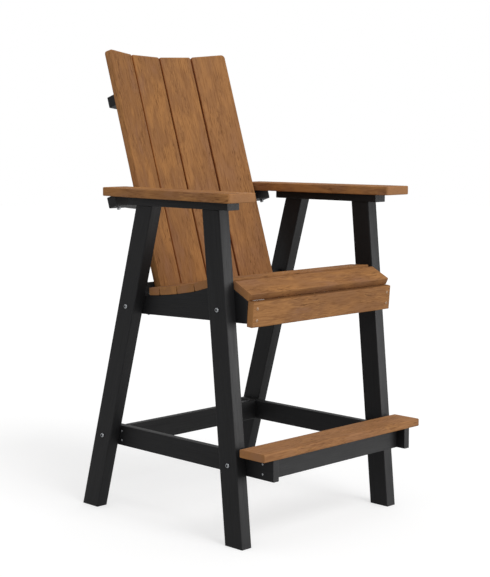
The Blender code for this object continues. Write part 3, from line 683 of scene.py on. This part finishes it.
def open_finish(name):
    """A new material with its shader, and the sockets of the piece's own coordinates and edge mask."""
    material = bpy.data.materials.new(name)
    material.use_nodes = True
    tree = material.node_tree
    shader = next(node for node in tree.nodes if node.type == "BSDF_PRINCIPLED")
    shader.location = (SHADER_COLUMN * COLUMN, 0)
    tree.nodes["Material Output"].location = ((SHADER_COLUMN + 2) * COLUMN, 0)
    return material, tree, shader, attribute_node(tree, "grain")["Vector"], attribute_node(tree, "rub")["Fac"]


def pressed(tree, height, depth):
    """The normal of a surface with a height pressed into it to the given depth."""
    return put(tree, "ShaderNodeBump", Strength=BUMP_STRENGTH, Distance=depth, Height=height).outputs[0]


def woodgrain_finish(scene, name):
    """Brown boards: golden and greyer patches, darker bands, pale dashes, streaks and flecks along the board, with
    painted light on some boards and ends and painted shade in the seams.
    """
    look = scene.chair_woodgrain
    material, tree, shader, own, edge = open_finish(name)
    aside = vector_node(tree, "ADD", own, (9.3, 4.1, 2.7))
    patch = use_group(tree, board_streaks, Vector=own, Length=0.16, Width=0.055, Sway=1.0, Detail=2.0)
    band = use_group(tree, board_streaks, Vector=own, Length=0.15, Width=0.014, Sway=2.0, Detail=4.0)
    fine = use_group(
        tree, board_streaks, Vector=own, Length=look.streak_length, Width=look.streak_width, Sway=0.6, Detail=2.5
    )
    hair = use_group(tree, board_streaks, Vector=own, Length=0.03, Width=0.0007, Sway=0.5, Detail=2.0)
    tick = use_group(tree, board_flecks, Vector=own, Length=0.022, Width=0.0021, Start=0.56, Full=0.68)
    smudge = use_group(tree, board_flecks, Vector=own, Length=0.05, Width=0.0075, Start=0.55, Full=0.72)
    glint = use_group(tree, board_flecks, Vector=aside, Length=0.03, Width=0.0045, Start=0.53, Full=0.68)
    tone = attribute_node(tree, "tone")["Vector"]
    pale, sawn, seam_painted_shade = put(tree, "ShaderNodeSeparateXYZ", Vector=tone).outputs
    plain = layered(
        tree, look.body,
        (ramp_value(tree, patch, 0.5, 0.64), look.honey),
        (ramp_value(tree, patch, 0.5, 0.34), look.ash),
        # Paler boards and ends: their own tone, and painted light on the footrest, two back slats and the arms' ends.
        (pale, look.pale),
    )
    colour = layered(
        tree, plain,
        (ramp_value(tree, band, 0.46, 0.72, 0, 0.4), look.shade),
        (math_node(tree, "MULTIPLY", glint, 0.5), look.glint),
        (ramp_value(tree, fine, 0.48, 0.72, 0, 0.48), look.streak),
        (ramp_value(tree, hair, 0.5, 0.8, 0, 0.28), look.streak),
        (math_node(tree, "MULTIPLY", smudge, 0.28), look.streak),
        (math_node(tree, "MULTIPLY", tick, 0.62), look.fleck),
        # Rounded edges lighter for wear and a painted highlight.
        (use_group(tree, edge_rub, Vector=own, Edge=edge, Amount=0.12), look.rubbed),
        (math_node(tree, "MULTIPLY", sawn, 0.7), plain),
        # Painted shade in the seams: warm between the back slats, dark on the apron's top edge.
        (ramp_value(tree, seam_painted_shade, 0.0, 1.0, 0, 0.6), look.warm_painted_seam_shade),
        (ramp_value(tree, seam_painted_shade, 0.0, -1.0, 0, 0.5), look.dark_painted_seam_shade),
    )
    pores = math_node(tree, "MULTIPLY_ADD", hair, 0.5, fine)
    height = math_node(tree, "MULTIPLY_ADD", math_node(tree, "ADD", pores, tick), -1.0, 2.0)
    feed(
        tree, shader, Base_Color=colour, Roughness=ramp_value(tree, fine, 0.35, 0.7, 0.6, 0.74),
        Specular_IOR_Level=0.03, Normal=pressed(tree, height, look.grain_depth),
    )
    return material


def black_finish(scene, name):
    """Black boards: a satin face with fine streaks and a few flecks along the board, and rounded edges paler for wear
    and a painted highlight.
    """
    look = scene.chair_black
    material, tree, shader, own, edge = open_finish(name)
    fine = use_group(
        tree, board_streaks, Vector=own, Length=look.streak_length, Width=look.streak_width, Sway=1.0, Detail=3.0
    )
    broad = use_group(tree, board_streaks, Vector=own, Length=0.3, Width=0.02, Sway=1.5, Detail=2.0)
    tick = use_group(tree, board_flecks, Vector=own, Length=0.02, Width=0.0011, Start=0.6, Full=0.75)
    gather = ramp_value(tree, broad, 0.3, 0.7, 0.3, 1.0)
    colour = layered(
        tree, look.body,
        (math_node(tree, "MULTIPLY", ramp_value(tree, fine, 0.4, 0.7), gather), look.streak),
        # Rounded edges lighter for wear and a painted highlight.
        (use_group(tree, edge_rub, Vector=own, Edge=edge, Amount=0.6), look.rubbed),
    )
    height = math_node(tree, "MULTIPLY_ADD", math_node(tree, "ADD", fine, tick), -1.0, 2.0)
    feed(
        tree, shader, Base_Color=colour, Roughness=ramp_value(tree, fine, 0.35, 0.7, 0.5, 0.62),
        Specular_IOR_Level=0.12, Normal=pressed(tree, height, look.grain_depth),
    )
    return material


def steel_finish(scene, name):
    """Turned steel: fine rings round each fastener's axis, some brighter and some duller, and painted shade in the
    drive.
    """
    look = scene.chair_fasteners
    material, tree, shader, own, drive_painted_shade = open_finish(name)
    x, y, z = put(tree, "ShaderNodeSeparateXYZ", Vector=own).outputs
    flat = combine_node(tree, X=x, Y=y)
    radius = put(tree, "ShaderNodeVectorMath", {"operation": "LENGTH"}, _0=flat).outputs["Value"]
    noise = noise_node(tree, combine_node(tree, X=radius, Z=z), scale=6000.0, detail=2.0)
    colour = layered(
        tree, look.steel,
        (ramp_value(tree, noise, 0.35, 0.65), look.dull),
        # Painted shade inside the drive.
        (math_node(tree, "MULTIPLY", drive_painted_shade, 0.92), look.drive_painted_shade),
    )
    feed(
        tree, shader, Base_Color=colour, Roughness=ramp_value(tree, noise, 0.3, 0.7, 0.26, 0.42), Metallic=1.0,
        Normal=pressed(tree, noise, look.ring_depth),
    )
    return material


def coated_finish(scene, name):
    """Screw heads coated to match the brown boards: a mottled coat, with painted shade inside the drive."""
    look = scene.chair_fasteners
    material, tree, shader, own, drive_painted_shade = open_finish(name)
    noise = noise_node(tree, own, scale=900.0, detail=2.0)
    colour = layered(
        tree, look.coat,
        (ramp_value(tree, noise, 0.35, 0.65), look.coat_shade),
        # Painted shade inside the drive.
        (math_node(tree, "MULTIPLY", drive_painted_shade, 0.9), look.drive_painted_shade),
    )
    feed(
        tree, shader, Base_Color=colour, Roughness=ramp_value(tree, noise, 0.3, 0.7, 0.4, 0.55),
        Specular_IOR_Level=0.2, Normal=pressed(tree, noise, look.ring_depth),
    )
    return material


# What builds each finish, its material's name and its slot.
FINISHES = {
    "woodgrain": (woodgrain_finish, "woodgrain_boards", "woodgrain_board"),
    "black": (black_finish, "black_boards", "black_board"),
    "steel": (steel_finish, "turned_steel", "stainless"),
    "coated": (coated_finish, "coated_steel", "stainless"),
}


def finish_of(scene, finish):
    """A finish's material, which is built the first time that a piece has it, and its slot."""
    build, name, slot = FINISHES[finish]
    return bpy.data.materials.get(name) or build(scene, name), slot


# Fastener outlines --------------------

# Widths are half widths, as the rows take them.
BOLT_SHANK, BOLT_HEAD, BOLT_HEAD_RISE = 0.004, 0.0067, 0.0036
BOLT_SOCKET, BOLT_SOCKET_DEPTH = 0.0031, 0.0027
BOLT_END_CHAMFER = 0.0009
THREAD_TURNS, THREAD_DEPTH, THREAD_ROWS = 8, 0.0007, 8
# From the bolt's end to where the thread begins to show, and to its first full turn.
THREAD_START, THREAD_FULL = 0.0001, 0.0008
NUT, NUT_BORE = 0.0065, 0.0042
NUT_WASHER, ARM_WASHER, WASHER_THICKNESS = 0.00825, 0.00625, 0.0016
ARM_SCREW_SHANK, ARM_SCREW_HEAD, ARM_SCREW_HEAD_RISE, ARM_SCREW_POINT = 0.0024, 0.0050, 0.0066, 0.006
BRACE_SCREW_SHANK, BRACE_SCREW_HEAD, BRACE_SCREW_HEAD_RISE = 0.0025, 0.00475, 0.0048
SMALL_SCREW_SHANK, SMALL_SCREW_LENGTH = 0.0018, 0.016
SCREW_TIP = 0.0003
# A screw's drive and its depth, as shares of its head, and its point, in shank widths.
DRIVE_SHARE, DRIVE_DEPTH_SHARE, POINT_SHARE = 0.3, 0.6, 3
# The flat round a drive, in drive widths, and at most in head widths.
DRIVE_FLAT, WIDEST_FLAT = 1.45, 0.8
HEAD_EASING = 0.0004
DOME_STEPS = 6
# Steps round a large and a small fastener.
LARGE_STEPS, SMALL_STEPS = 48, 24


def domed_rows(radius, bottom, top, drive, drive_sides, drive_depth):
    """Rows of a domed head with a drive sunk in it: an ellipse up to the flat round the drive, then its walls."""
    turn = np.linspace(0, np.arccos(min(WIDEST_FLAT, DRIVE_FLAT * drive / radius)), DOME_STEPS + 1)
    eased = bottom + HEAD_EASING
    rise = eased + (top - eased) * np.sin(turn) / np.sin(turn[-1])
    return [
        (radius - HEAD_EASING, bottom, 0),
        *((radius * c, h, 0) for c, h in zip(np.cos(turn), rise)),
        (drive * 1.08, top, drive_sides),
        (drive, top - 0.0003, drive_sides),
        (drive, top - drive_depth, drive_sides),
        (drive * 0.6, top - drive_depth - 0.0002, drive_sides),
    ]


def washer_rows(radius, bottom, top):
    """Rows of a washer's outside, eased at both rims."""
    return [
        (radius - 0.00025, bottom, 0), (radius, bottom + 0.0003, 0), (radius, top - 0.0003, 0),
        (radius - 0.00025, top, 0),
    ]


def bolt_rows(low, high, pitch):
    """Rows of a bolt from its threaded end to its domed head, and its thread."""
    full, thread_top, seat = low + THREAD_FULL, low + THREAD_FULL + THREAD_TURNS * pitch, high - BOLT_HEAD_RISE
    rows = [
        (BOLT_SHANK - BOLT_END_CHAMFER, low, 0),
        *((BOLT_SHANK, h, 0) for h in np.linspace(full, thread_top, THREAD_TURNS * THREAD_ROWS + 1)),
        (BOLT_SHANK, seat, 0),
        *domed_rows(BOLT_HEAD, seat, high, BOLT_SOCKET, 6, BOLT_SOCKET_DEPTH),
    ]
    return rows, (low + THREAD_START, thread_top, pitch, THREAD_DEPTH)


def nut_rows(low, high):
    """Rows of a washer and a chamfered hexagon nut, from the board up, with the bore of the bolt."""
    seat = low + WASHER_THICKNESS
    return [
        *washer_rows(NUT_WASHER, low, seat),
        (NUT + 0.0001, seat, 0), (NUT - 0.0002, seat + 0.0002, 6),
        (NUT, seat + 0.0006, 6), (NUT, high - 0.0007, 6), (NUT - 0.0004, high, 0),
        (NUT_BORE + 0.0005, high, 0), (NUT_BORE, high - 0.0005, 0), (NUT_BORE, low + 0.0002, 0),
    ]


def hexagon_screw_rows(low, high):
    """Rows of a pointed screw with a washer under its hexagon head."""
    shank, head, seat = ARM_SCREW_SHANK, ARM_SCREW_HEAD, high - ARM_SCREW_HEAD_RISE
    washer = seat - WASHER_THICKNESS
    return [
        (SCREW_TIP, low, 0), (shank, low + ARM_SCREW_POINT, 0), (shank, washer, 0),
        *washer_rows(ARM_WASHER, washer, seat),
        (head + 0.0004, seat, 0), (head - 0.0001, seat + 0.0002, 6),
        (head, seat + 0.0005, 6), (head, high - 0.0008, 6), (head - 0.0004, high - 0.0001, 0),
        (head - 0.0010, high, 0), (head - 0.0030, high - 0.0002, 0),
    ]


def screw_rows(low, high, head_rise, shank, head):
    """Rows of a pointed screw with a domed head and a square drive."""
    seat = high - head_rise
    return [
        (SCREW_TIP, low, 0), (shank, low + POINT_SHARE * shank, 0), (shank, seat, 0),
        *domed_rows(head, seat, high, DRIVE_SHARE * head, 4, DRIVE_DEPTH_SHARE * head_rise),
    ]


def small_screw(look, head):
    """The small screw, with the underside of its head at height 0."""
    rows = screw_rows(-SMALL_SCREW_LENGTH, look.screw_rise, look.screw_rise, SMALL_SCREW_SHANK, head / 2)
    return turned_surface(rows, SMALL_STEPS)


# Where two screws stand across a board's width, and three along an arm support, as shares.
TWO_SCREWS = (0.27, 0.73)
THREE_SCREWS = (0.3, 0.5, 0.7)


def brace_rear(brace, x):
    """The rearmost place on a brace's middle plane where its outline crosses x."""
    along, across, up = brace["axes"]
    start, stop = brace["outline"], np.roll(brace["outline"], -1, axis=0)
    crossed = (start[:, 0] - x) * (stop[:, 0] - x) < 0
    start, stop = start[crossed], stop[crossed]
    share = (x - start[:, 0]) / (stop[:, 0] - start[:, 0])
    depth = start[:, 1] + share * (stop[:, 1] - start[:, 1])
    behind = np.sign(across[1])
    return along * x + across * behind * (behind * depth).max() + up * brace["middle"]


# Operators ----------------------------


class DrawLegs(bpy.types.Operator):
    """Four leaning legs, black boards 38 mm thick"""

    bl_idname = "chair.legs"
    bl_label = "Legs"

    def execute(self, context):
        lay_boards(context, [name for end in ENDS for name in pair(f"{end}_leg")], "black")
        return {"FINISHED"}


class DrawSeatRails(bpy.types.Operator):
    """Two seat rails with a flat for each slat"""

    bl_idname = "chair.seat_rails"
    bl_label = "Seat Rails"

    def execute(self, context):
        lay_boards(context, pair("seat_rail"), "black")
        return {"FINISHED"}


class DrawFootFrame(bpy.types.Operator):
    """Two foot rails and the two stretchers between them"""

    bl_idname = "chair.foot_frame"
    bl_label = "Foot Frame"

    def execute(self, context):
        lay_boards(context, [*pair("foot_rail"), "footrest_stretcher", "rear_stretcher"], "black")
        return {"FINISHED"}


class DrawBackBraces(bpy.types.Operator):
    """Three bowed braces behind the back slats"""

    bl_idname = "chair.back_braces"
    bl_label = "Back Braces"

    def execute(self, context):
        lay_boards(context, BRACES, "black", ACROSS_CHAIR)
        return {"FINISHED"}


class DrawArmSupports(bpy.types.Operator):
    """Two boards on the legs that carry the arms"""

    bl_idname = "chair.arm_supports"
    bl_label = "Arm Supports"

    def execute(self, context):
        lay_boards(context, pair("arm_support"), "black")
        return {"FINISHED"}


class DrawSeatSlats(bpy.types.Operator):
    """Six seat slats across the rails"""

    bl_idname = "chair.seat_slats"
    bl_label = "Seat Slats"

    def execute(self, context):
        lay_boards(context, SEAT_SLATS, "woodgrain", ACROSS_CHAIR)
        return {"FINISHED"}


class DrawApron(bpy.types.Operator):
    """The apron across the front of the seat"""

    bl_idname = "chair.apron"
    bl_label = "Seat Apron"

    def execute(self, context):
        lay_boards(context, ["seat_apron"], "woodgrain", ACROSS_CHAIR)
        return {"FINISHED"}


class DrawBackSlats(bpy.types.Operator):
    """Four back slats in a shallow curve"""

    bl_idname = "chair.back_slats"
    bl_label = "Back Slats"

    def execute(self, context):
        lay_boards(context, BACK_SLATS, "woodgrain")
        return {"FINISHED"}


class DrawArms(bpy.types.Operator):
    """Two arms that widen towards the front"""

    bl_idname = "chair.arms"
    bl_label = "Arms"

    def execute(self, context):
        lay_boards(context, pair("arm"), "woodgrain")
        return {"FINISHED"}


class DrawFootrest(bpy.types.Operator):
    """The footrest board"""

    bl_idname = "chair.footrest"
    bl_label = "Footrest"

    def execute(self, context):
        lay_boards(context, ["footrest_board"], "woodgrain", ACROSS_CHAIR)
        return {"FINISHED"}


class DrawBolts(bpy.types.Operator):
    """Eight bolts through the legs, with domed socket heads and threaded ends"""

    bl_idname = "chair.bolts"
    bl_label = "Leg Bolts"

    def execute(self, context):
        names = leg_fasteners("bolt")
        seats, low, high = read_seats(names)
        rows, thread = bolt_rows(low, high, context.scene.chair_fasteners.thread_pitch)
        seat_fasteners(context, "leg_bolts", turned_surface(rows, LARGE_STEPS, thread), seats, names)
        return {"FINISHED"}


class DrawNuts(bpy.types.Operator):
    """Eight nuts and washers on the bolts, inside the rails"""

    bl_idname = "chair.nuts"
    bl_label = "Leg Nuts"

    def execute(self, context):
        names = leg_fasteners("nut")
        seats, low, high = read_seats(names)
        nut = turned_surface(nut_rows(-high, -low), LARGE_STEPS)
        seat_fasteners(context, "leg_nuts", nut, [(place, -direction) for place, direction in seats], names)
        return {"FINISHED"}


class DrawArmScrews(bpy.types.Operator):
    """Hexagon screws with washers, up through the ears of the brace into the arms"""

    bl_idname = "chair.arm_screws"
    bl_label = "Arm Screws"

    def execute(self, context):
        names = pair("arm_screw")
        seats, low, high = read_seats(names)
        screw = turned_surface(hexagon_screw_rows(low, high), LARGE_STEPS)
        seat_fasteners(context, "ear_screws", screw, seats, names)
        return {"FINISHED"}


class DrawBraceScrews(bpy.types.Operator):
    """Screws up through the seat rails into the lower brace"""

    bl_idname = "chair.brace_screws"
    bl_label = "Brace Screws"

    def execute(self, context):
        names = pair("brace_screw")
        seats, low, high = read_seats(names)
        rows = screw_rows(low, high, BRACE_SCREW_HEAD_RISE, BRACE_SCREW_SHANK, BRACE_SCREW_HEAD)
        seat_fasteners(context, "rail_screws", turned_surface(rows, LARGE_STEPS), seats, names)
        return {"FINISHED"}


class DrawApronScrews(bpy.types.Operator):
    """Two small screws at each end of the apron, into the seat rails"""

    bl_idname = "chair.apron_screws"
    bl_label = "Apron Screws"

    def execute(self, context):
        look = context.scene.chair_fasteners
        board = read_board("seat_apron", ACROSS_CHAIR)
        along, across, facing = board["axes"]
        front = -np.sign(facing[1])
        face = facing * (board["middle"] + front * board["thickness"] / 2)
        low, high = board["outline"][:, 1].min(), board["outline"][:, 1].max()
        seats = []
        for side, way in SIDES.items():
            rail_low, rail_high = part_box(f"seat_rail_{side}")
            x = (rail_low[0] + rail_high[0]) / 2 - way * look.apron_inset
            for share in TWO_SCREWS:
                seats.append((face + along * x + across * (low + share * (high - low)), front * facing))
        seat_fasteners(context, "apron_screws", small_screw(look, look.coated_head), seats, finish="coated")
        return {"FINISHED"}


class DrawFootRailScrews(bpy.types.Operator):
    """Two small screws through the foot rails into each end of the stretchers"""

    bl_idname = "chair.foot_rail_screws"
    bl_label = "Foot Rail Screws"

    def execute(self, context):
        look = context.scene.chair_fasteners
        seats = []
        for side, way in SIDES.items():
            rail_low, rail_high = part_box(f"foot_rail_{side}")
            outer = max(abs(rail_low[0]), abs(rail_high[0]))
            for stretcher in ("footrest_stretcher", "rear_stretcher"):
                low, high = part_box(stretcher)
                for share in TWO_SCREWS:
                    height = rail_low[2] + share * (rail_high[2] - rail_low[2])
                    seats.append(((way * outer, (low[1] + high[1]) / 2, height), (way, 0, 0)))
        seat_fasteners(context, "foot_rail_screws", small_screw(look, look.screw_head), seats)
        return {"FINISHED"}


class DrawBackScrews(bpy.types.Operator):
    """Two small screws from behind through each brace into each back slat"""

    bl_idname = "chair.back_screws"
    bl_label = "Back Screws"

    def execute(self, context):
        look = context.scene.chair_fasteners
        slats = [read_board(name) for name in BACK_SLATS]
        seats = []
        for name in BRACES:
            brace = read_board(name, ACROSS_CHAIR)
            for slat in slats:
                centre = np.append(slat["outline"].mean(axis=0), slat["middle"]) @ slat["axes"]
                rearward = slat["axes"][2] * np.sign(slat["axes"][2][1])
                for way in (-1, 1):
                    seats.append((brace_rear(brace, centre[0] + way * look.slat_spread), rearward))
        seat_fasteners(context, "back_screws", small_screw(look, look.screw_head), seats)
        return {"FINISHED"}


class DrawSupportScrews(bpy.types.Operator):
    """Three small screws up through each arm support into its arm"""

    bl_idname = "chair.support_screws"
    bl_label = "Support Screws"

    def execute(self, context):
        look = context.scene.chair_fasteners
        seats = []
        for name in pair("arm_support"):
            low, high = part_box(name)
            for share in THREE_SCREWS:
                seats.append((((low[0] + high[0]) / 2, low[1] + share * (high[1] - low[1]), low[2]), (0, 0, -1)))
        seat_fasteners(context, "support_screws", small_screw(look, look.screw_head), seats)
        return {"FINISHED"}


class SetStage(bpy.types.Operator):
    """A pale floor, a white surround, soft light and the camera"""

    bl_idname = "chair.stage"
    bl_label = "Stage"

    def execute(self, context):
        look = context.scene.chair_stage
        self.surround(context.scene, look)
        self.floor(context.scene, look)
        self.lamps(context.scene, look)
        self.camera(context.scene, look)
        context.scene.view_settings.view_transform = "Standard"
        return {"FINISHED"}

    def seen_share(self, tree):
        """1 for what the camera sees, straight or in gloss or glass, and 0 for the light that falls on surfaces."""
        path = put(tree, "ShaderNodeLightPath").outputs
        seen = math_node(tree, "MAXIMUM", path["Is Camera Ray"], path["Is Glossy Ray"])
        return math_node(tree, "MAXIMUM", seen, path["Is Transmission Ray"])

    def surround(self, scene, look):
        """A surround that is white to the eye and lights surfaces by the fill."""
        world = bpy.data.worlds.new("pale_surround")
        world.use_nodes = True
        tree = world.node_tree
        light = next(node for node in tree.nodes if node.type == "BACKGROUND")
        strength = math_node(tree, "MULTIPLY_ADD", self.seen_share(tree), 1 - look.fill, look.fill)
        feed(tree, light, Color=(1, 1, 1, 1), Strength=strength)
        scene.world = world

    def floor(self, scene, look):
        """A flat square. It glows only for the camera, so that it is white where nothing shades it."""
        mesh = bpy.data.meshes.new("pale_floor")
        corners = look.floor_reach * np.array([(-1, -1, 0), (1, -1, 0), (1, 1, 0), (-1, 1, 0)])
        mesh.from_pydata(corners.tolist(), [], [(0, 1, 2, 3)])
        material = bpy.data.materials.new("pale_floor")
        material.use_nodes = True
        tree = material.node_tree
        tree.nodes.clear()
        matt = put(tree, "ShaderNodeBsdfDiffuse", Color=(*look.floor, 1.0))
        strength = math_node(tree, "MULTIPLY", self.seen_share(tree), look.floor_glow)
        glow = put(tree, "ShaderNodeEmission", Strength=strength)
        both = put(tree, "ShaderNodeAddShader", _0=matt.outputs[0], _1=glow.outputs[0])
        put(tree, "ShaderNodeOutputMaterial", Surface=both.outputs[0])
        mesh.materials.append(material)
        floor = bpy.data.objects.new("pale_floor", mesh)
        scene.collection.objects.link(floor)

    def lamps(self, scene, look):
        """A soft sun from the front, and a softbox that only gloss sees."""
        sun = bpy.data.lights.new("key_sun", "SUN")
        sun.energy, sun.angle = look.key_strength, look.key_width
        softbox = bpy.data.lights.new("softbox", "AREA")
        softbox.shape, softbox.energy = "RECTANGLE", look.gloss_power
        softbox.size, softbox.size_y = look.gloss_width, look.gloss_height
        for data, place, aim in ((sun, look.key_place, (0, 0, 0)), (softbox, look.gloss_place, look.gloss_aim)):
            lamp = bpy.data.objects.new(data.name, data)
            lamp.location = place
            lamp.rotation_euler = (lamp.location - Vector(aim)).to_track_quat("Z", "Y").to_euler()
            lamp.visible_diffuse = data.type == "SUN"
            scene.collection.objects.link(lamp)

    def camera(self, scene, look):
        """The camera, level from side to side."""
        data = bpy.data.cameras.new("chair_camera")
        data.lens, data.sensor_width, data.sensor_fit = look.lens, look.sensor, "AUTO"
        camera = bpy.data.objects.new("chair_camera", data)
        camera.location = look.camera_place
        camera.rotation_euler = (math.pi / 2 - look.camera_dip, 0, look.camera_turn)
        scene.collection.objects.link(camera)
        scene.camera = camera


# Add-on -------------------------------

OPERATORS = (
    DrawLegs, DrawSeatRails, DrawFootFrame, DrawBackBraces, DrawArmSupports, DrawSeatSlats, DrawApron, DrawBackSlats,
    DrawArms, DrawFootrest, DrawBolts, DrawNuts, DrawArmScrews, DrawBraceScrews, DrawApronScrews, DrawFootRailScrews,
    DrawBackScrews, DrawSupportScrews, SetStage,
)
SETTINGS = {
    "chair_boards": BoardSettings,
    "chair_woodgrain": WoodgrainSettings,
    "chair_black": BlackBoardSettings,
    "chair_fasteners": FastenerSettings,
    "chair_stage": StageSettings,
}


class ChairPanel(bpy.types.Panel):
    """Every step of the chair, and the sizes and colours it uses"""

    bl_idname = "VIEW3D_PT_bar_chair"
    bl_label = "Bar Chair"
    bl_space_type = "VIEW_3D"
    bl_region_type = "UI"
    bl_category = "Bar Chair"

    def draw(self, context):
        for operator in OPERATORS:
            self.layout.operator(operator.bl_idname)
        for key, group in SETTINGS.items():
            box = self.layout.box()
            box.label(text=group.__doc__)
            for field in group.__annotations__:
                box.prop(getattr(context.scene, key), field)


CLASSES = (*SETTINGS.values(), *OPERATORS, ChairPanel)


def register():
    for cls in CLASSES:
        bpy.utils.register_class(cls)
    for key, group in SETTINGS.items():
        setattr(bpy.types.Scene, key, PointerProperty(type=group))


def unregister():
    for key in SETTINGS:
        delattr(bpy.types.Scene, key)
    for cls in reversed(CLASSES):
        bpy.utils.unregister_class(cls)


def main():
    """Registers the add-on, and draws the chair and its stage."""
    register()
    bpy.ops.chair.legs()
    bpy.ops.chair.seat_rails()
    bpy.ops.chair.foot_frame()
    bpy.ops.chair.back_braces()
    bpy.ops.chair.arm_supports()
    bpy.ops.chair.seat_slats()
    bpy.ops.chair.apron()
    bpy.ops.chair.back_slats()
    bpy.ops.chair.arms()
    bpy.ops.chair.footrest()
    bpy.ops.chair.bolts()
    bpy.ops.chair.nuts()
    bpy.ops.chair.arm_screws()
    bpy.ops.chair.brace_screws()
    bpy.ops.chair.apron_screws()
    bpy.ops.chair.foot_rail_screws()
    bpy.ops.chair.back_screws()
    bpy.ops.chair.support_screws()
    bpy.ops.chair.stage()


if __name__ == "__main__":
    main()
